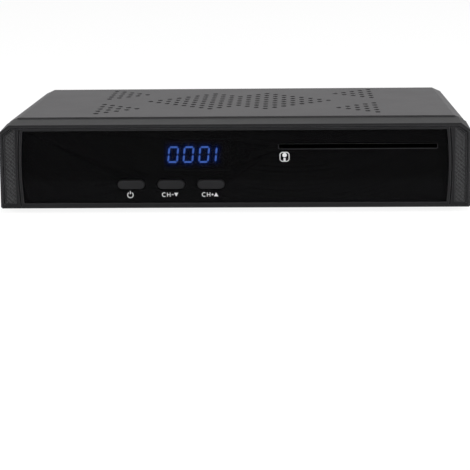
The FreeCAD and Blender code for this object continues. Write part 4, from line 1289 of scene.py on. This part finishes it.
@dataclass
class NetworkContacts:
    """Sprung contacts under the roof of the network socket.

    Attributes:
        inward: How far inside the mouth its tip, bend and root are.
        drop: How far under the roof its tip, bend and root are.
    """

    count: int = 8
    pitch: float = 1.02 * MM
    half_wide: float = 0.2 * MM
    half_thick: float = 0.14 * MM
    inward: Triple = (1.6 * MM, 6.0 * MM, 9.6 * MM)
    drop: Triple = (2.4 * MM, 3.4 * MM, 5.6 * MM)

    def build(self) -> None:
        """A rectangle carried along each contact's path, which is straight from tip to bend to root."""
        low, high = node_box("network_socket")
        wide, thick = self.half_wide, self.half_thick
        section_x = np.array([-wide, wide, wide, -wide])
        section_z = np.array([-thick, -thick, thick, thick])
        shape = (self.count, len(self.inward), len(section_x))
        number = np.arange(self.count) - (self.count - 1) / 2
        x = (low.x + high.x) / 2 + number[:, None, None] * self.pitch + section_x
        y = high.y - np.array(self.inward)[:, None]
        z = high.z - np.array(self.drop)[:, None] + section_z
        points = np.stack([np.broadcast_to(axis, shape) for axis in (x, y, z)], -1).reshape(-1, 3)
        sides = loft_faces(shape[1], shape[2])[:, ::-1]
        last = shape[1] * shape[2]
        ends = np.array([[0, 1, 2, 3], [last - 1, last - 2, last - 3, last - 4]])
        one = np.vstack([sides, ends])
        faces = np.vstack([one + last * index for index in range(self.count)])
        add_piece("network_contacts", points, faces, Finish.GOLD)


def rear_details() -> None:
    """Add the small parts that show at the rear sockets."""
    SocketTongue("hdmi_socket", "hdmi", low=2.3 * MM, high=3.4 * MM, contacts=10, contact=0.42 * MM).build()
    SocketTongue("usb_socket", "usb", low=4.0 * MM, high=5.9 * MM, contacts=4, contact=1.1 * MM).build()
    NetworkLenses().build()
    thread = AerialThread()
    thread.build("f_socket_in", "f_nut_in")
    thread.build("f_socket_out", "f_nut_out")
    PhonoRings().build()
    NetworkContacts().build()


@dataclass
class Studio:
    """White floor and soft light.

    Attributes:
        fill: Strength of the world as light on the object.
        floor_colour: Colour of the floor as it takes the shadow.
        floor_glow: Strength of the floor's own white.
        floor_white: Share of that white in what the camera sees; the rest takes the shadow.
        side_place: Where the right side lamp stands; the left one mirrors it.
        side_target: What both side lamps face.
        side_power: Power of the left side lamp in watts.
        right_share: Power of the right side lamp against the left one's.
    """

    fill: float = 0.42
    floor_half: float = 4.0
    floor_colour: Colour = (0.90, 0.90, 0.90)
    floor_rough: float = 0.9
    floor_glow: float = 1.1
    floor_white: float = 0.8
    key_place: Triple = (0.3, 0.6, 1.8)
    key_size: float = 2.6
    key_power: float = 12.0
    side_place: Triple = (0.9, -0.30, 0.24)
    side_target: Triple = (0.0, -0.05, 0.02)
    side_size: float = 0.6
    side_power: float = 8.5
    right_share: float = 1.25

    def build(self) -> None:
        """Make the world, the floor and the lamps."""
        self.world()
        self.floor()
        self.lamp("key", self.key_place, (0.0, 0.0, 0.0), self.key_size, self.key_power)
        away, y, z = self.side_place
        for name, side, share in (("left", -1.0, 1.0), ("right", 1.0, self.right_share)):
            place = (side * away, y, z)
            power = share * self.side_power
            side_lamp = self.lamp("side_" + name, place, self.side_target, self.side_size, power)
            side_lamp.visible_glossy = False

    @staticmethod
    def seen_rays(tree: bpy.types.NodeTree) -> bpy.types.NodeSocket:
        """Value that is 1 for camera, glossy and transmission rays.

        Args:
            tree: The node tree.

        Returns:
            The output that gives the value.
        """
        path = tree.nodes.new("ShaderNodeLightPath")
        seen = path.outputs["Is Camera Ray"]
        for kind in ("Is Glossy Ray", "Is Transmission Ray"):
            either = tree.nodes.new("ShaderNodeMath")
            either.operation = "MAXIMUM"
            tree.links.new(seen, either.inputs[0])
            tree.links.new(path.outputs[kind], either.inputs[1])
            seen = either.outputs[0]
        return seen

    def world(self) -> None:
        """White to the camera and in reflections, softer as light."""
        world = bpy.data.worlds.new("studio")
        bpy.context.scene.world = world
        world.use_nodes = True
        tree = world.node_tree
        tree.nodes.clear()
        level = tree.nodes.new("ShaderNodeMapRange")
        level.inputs["To Min"].default_value = self.fill
        background = tree.nodes.new("ShaderNodeBackground")
        output = tree.nodes.new("ShaderNodeOutputWorld")
        tree.links.new(self.seen_rays(tree), level.inputs["Value"])
        tree.links.new(level.outputs["Result"], background.inputs["Strength"])
        tree.links.new(background.outputs["Background"], output.inputs["Surface"])

    def floor(self) -> None:
        """Large white floor that the receiver stands on, with its soft shadow."""
        half = self.floor_half
        corners = [(-half, -half, 0.0), (half, -half, 0.0), (half, half, 0.0), (-half, half, 0.0)]
        mesh = bpy.data.meshes.new("floor")
        mesh.from_pydata(corners, [], [[0, 1, 2, 3]])
        wiring = Wiring("floor_white")
        wiring.constant("Base Color", (*self.floor_colour, 1.0))
        wiring.constant("Roughness", self.floor_rough)
        wiring.constant("Specular IOR Level", 0.0)
        share = wiring.add("ShaderNodeMath", operation="MULTIPLY")
        share.inputs[1].default_value = self.floor_white
        wiring.tree.links.new(self.seen_rays(wiring.tree), share.inputs[0])
        glow = wiring.add("ShaderNodeEmission", strength=self.floor_glow)
        mix = wiring.add("ShaderNodeMixShader")
        wiring.join(share, 0, mix, 0)
        wiring.join(wiring.shader, "BSDF", mix, 1)
        wiring.join(glow, "Emission", mix, 2)
        wiring.join(mix, 0, wiring.output, "Surface")
        mesh.materials.append(wiring.material)
        floor = bpy.data.objects.new("floor", mesh)
        bpy.context.scene.collection.objects.link(floor)

    @staticmethod
    def lamp(name: str, place: Triple, target: Triple, size: float, power: float) -> bpy.types.Object:
        """Square soft lamp that faces a point.

        Args:
            name: The lamp's name.
            place: Where it hangs.
            target: The point that it faces.
            size: Its side.
            power: Its power in watts.

        Returns:
            The lamp.
        """
        light = bpy.data.lights.new(name, "AREA")
        light.shape = "SQUARE"
        light.size = size
        light.energy = power
        lamp = bpy.data.objects.new(name, light)
        lamp.location = place
        lamp.rotation_euler = (Vector(target) - Vector(place)).to_track_quat("-Z", "Y").to_euler()
        bpy.context.scene.collection.objects.link(lamp)
        return lamp


@dataclass
class View:
    """The photograph's camera.

    Attributes:
        place: Where the lens is.
        down: How far it looks down.
        turn: How far it looks to the left.
        roll: Roll about the line of sight.
        focal: Focal length over the picture's width.
        shift: Vertical shift that frames the object high in the picture.
        sensor: Width of the sensor in Blender's millimetres.
    """

    place: Triple = (0.02615, -0.8098, 0.1394)
    down: float = 0.1476
    turn: float = 0.0350
    roll: float = -0.0105
    focal: float = 1594.0 / PICTURE
    shift: float = -87.0 / PICTURE
    sensor: float = 36.0
    near: float = 0.01

    def build(self) -> None:
        """Make the camera."""
        data = bpy.data.cameras.new("camera")
        data.sensor_width = self.sensor
        data.lens = self.focal * self.sensor
        data.shift_y = self.shift
        data.clip_start = self.near
        camera = bpy.data.objects.new("camera", data)
        turn = Matrix.Rotation(self.turn, 4, "Z")
        tilt = Matrix.Rotation(math.pi / 2 - self.down, 4, "X")
        roll = Matrix.Rotation(self.roll, 4, "Z")
        camera.matrix_world = Matrix.Translation(self.place) @ turn @ tilt @ roll
        bpy.context.scene.collection.objects.link(camera)
        bpy.context.scene.camera = camera


def plain(box: object) -> list:
    """A box as plain lists of numbers."""
    return [[float(value) for value in corner] for corner in box]


def main() -> None:
    """Dress the nodes, add the pieces and light the scene."""
    logging.basicConfig(level=logging.INFO)
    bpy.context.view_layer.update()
    dress_nodes()
    ButtonMarks().build()
    CardMark().build()
    SlotTrim().build()
    DigitHalo().build()
    rear_details()
    Studio().build()
    View().build()
    scene = bpy.context.scene
    scene.view_settings.view_transform = "Standard"


if __name__ == "__main__":
    main()
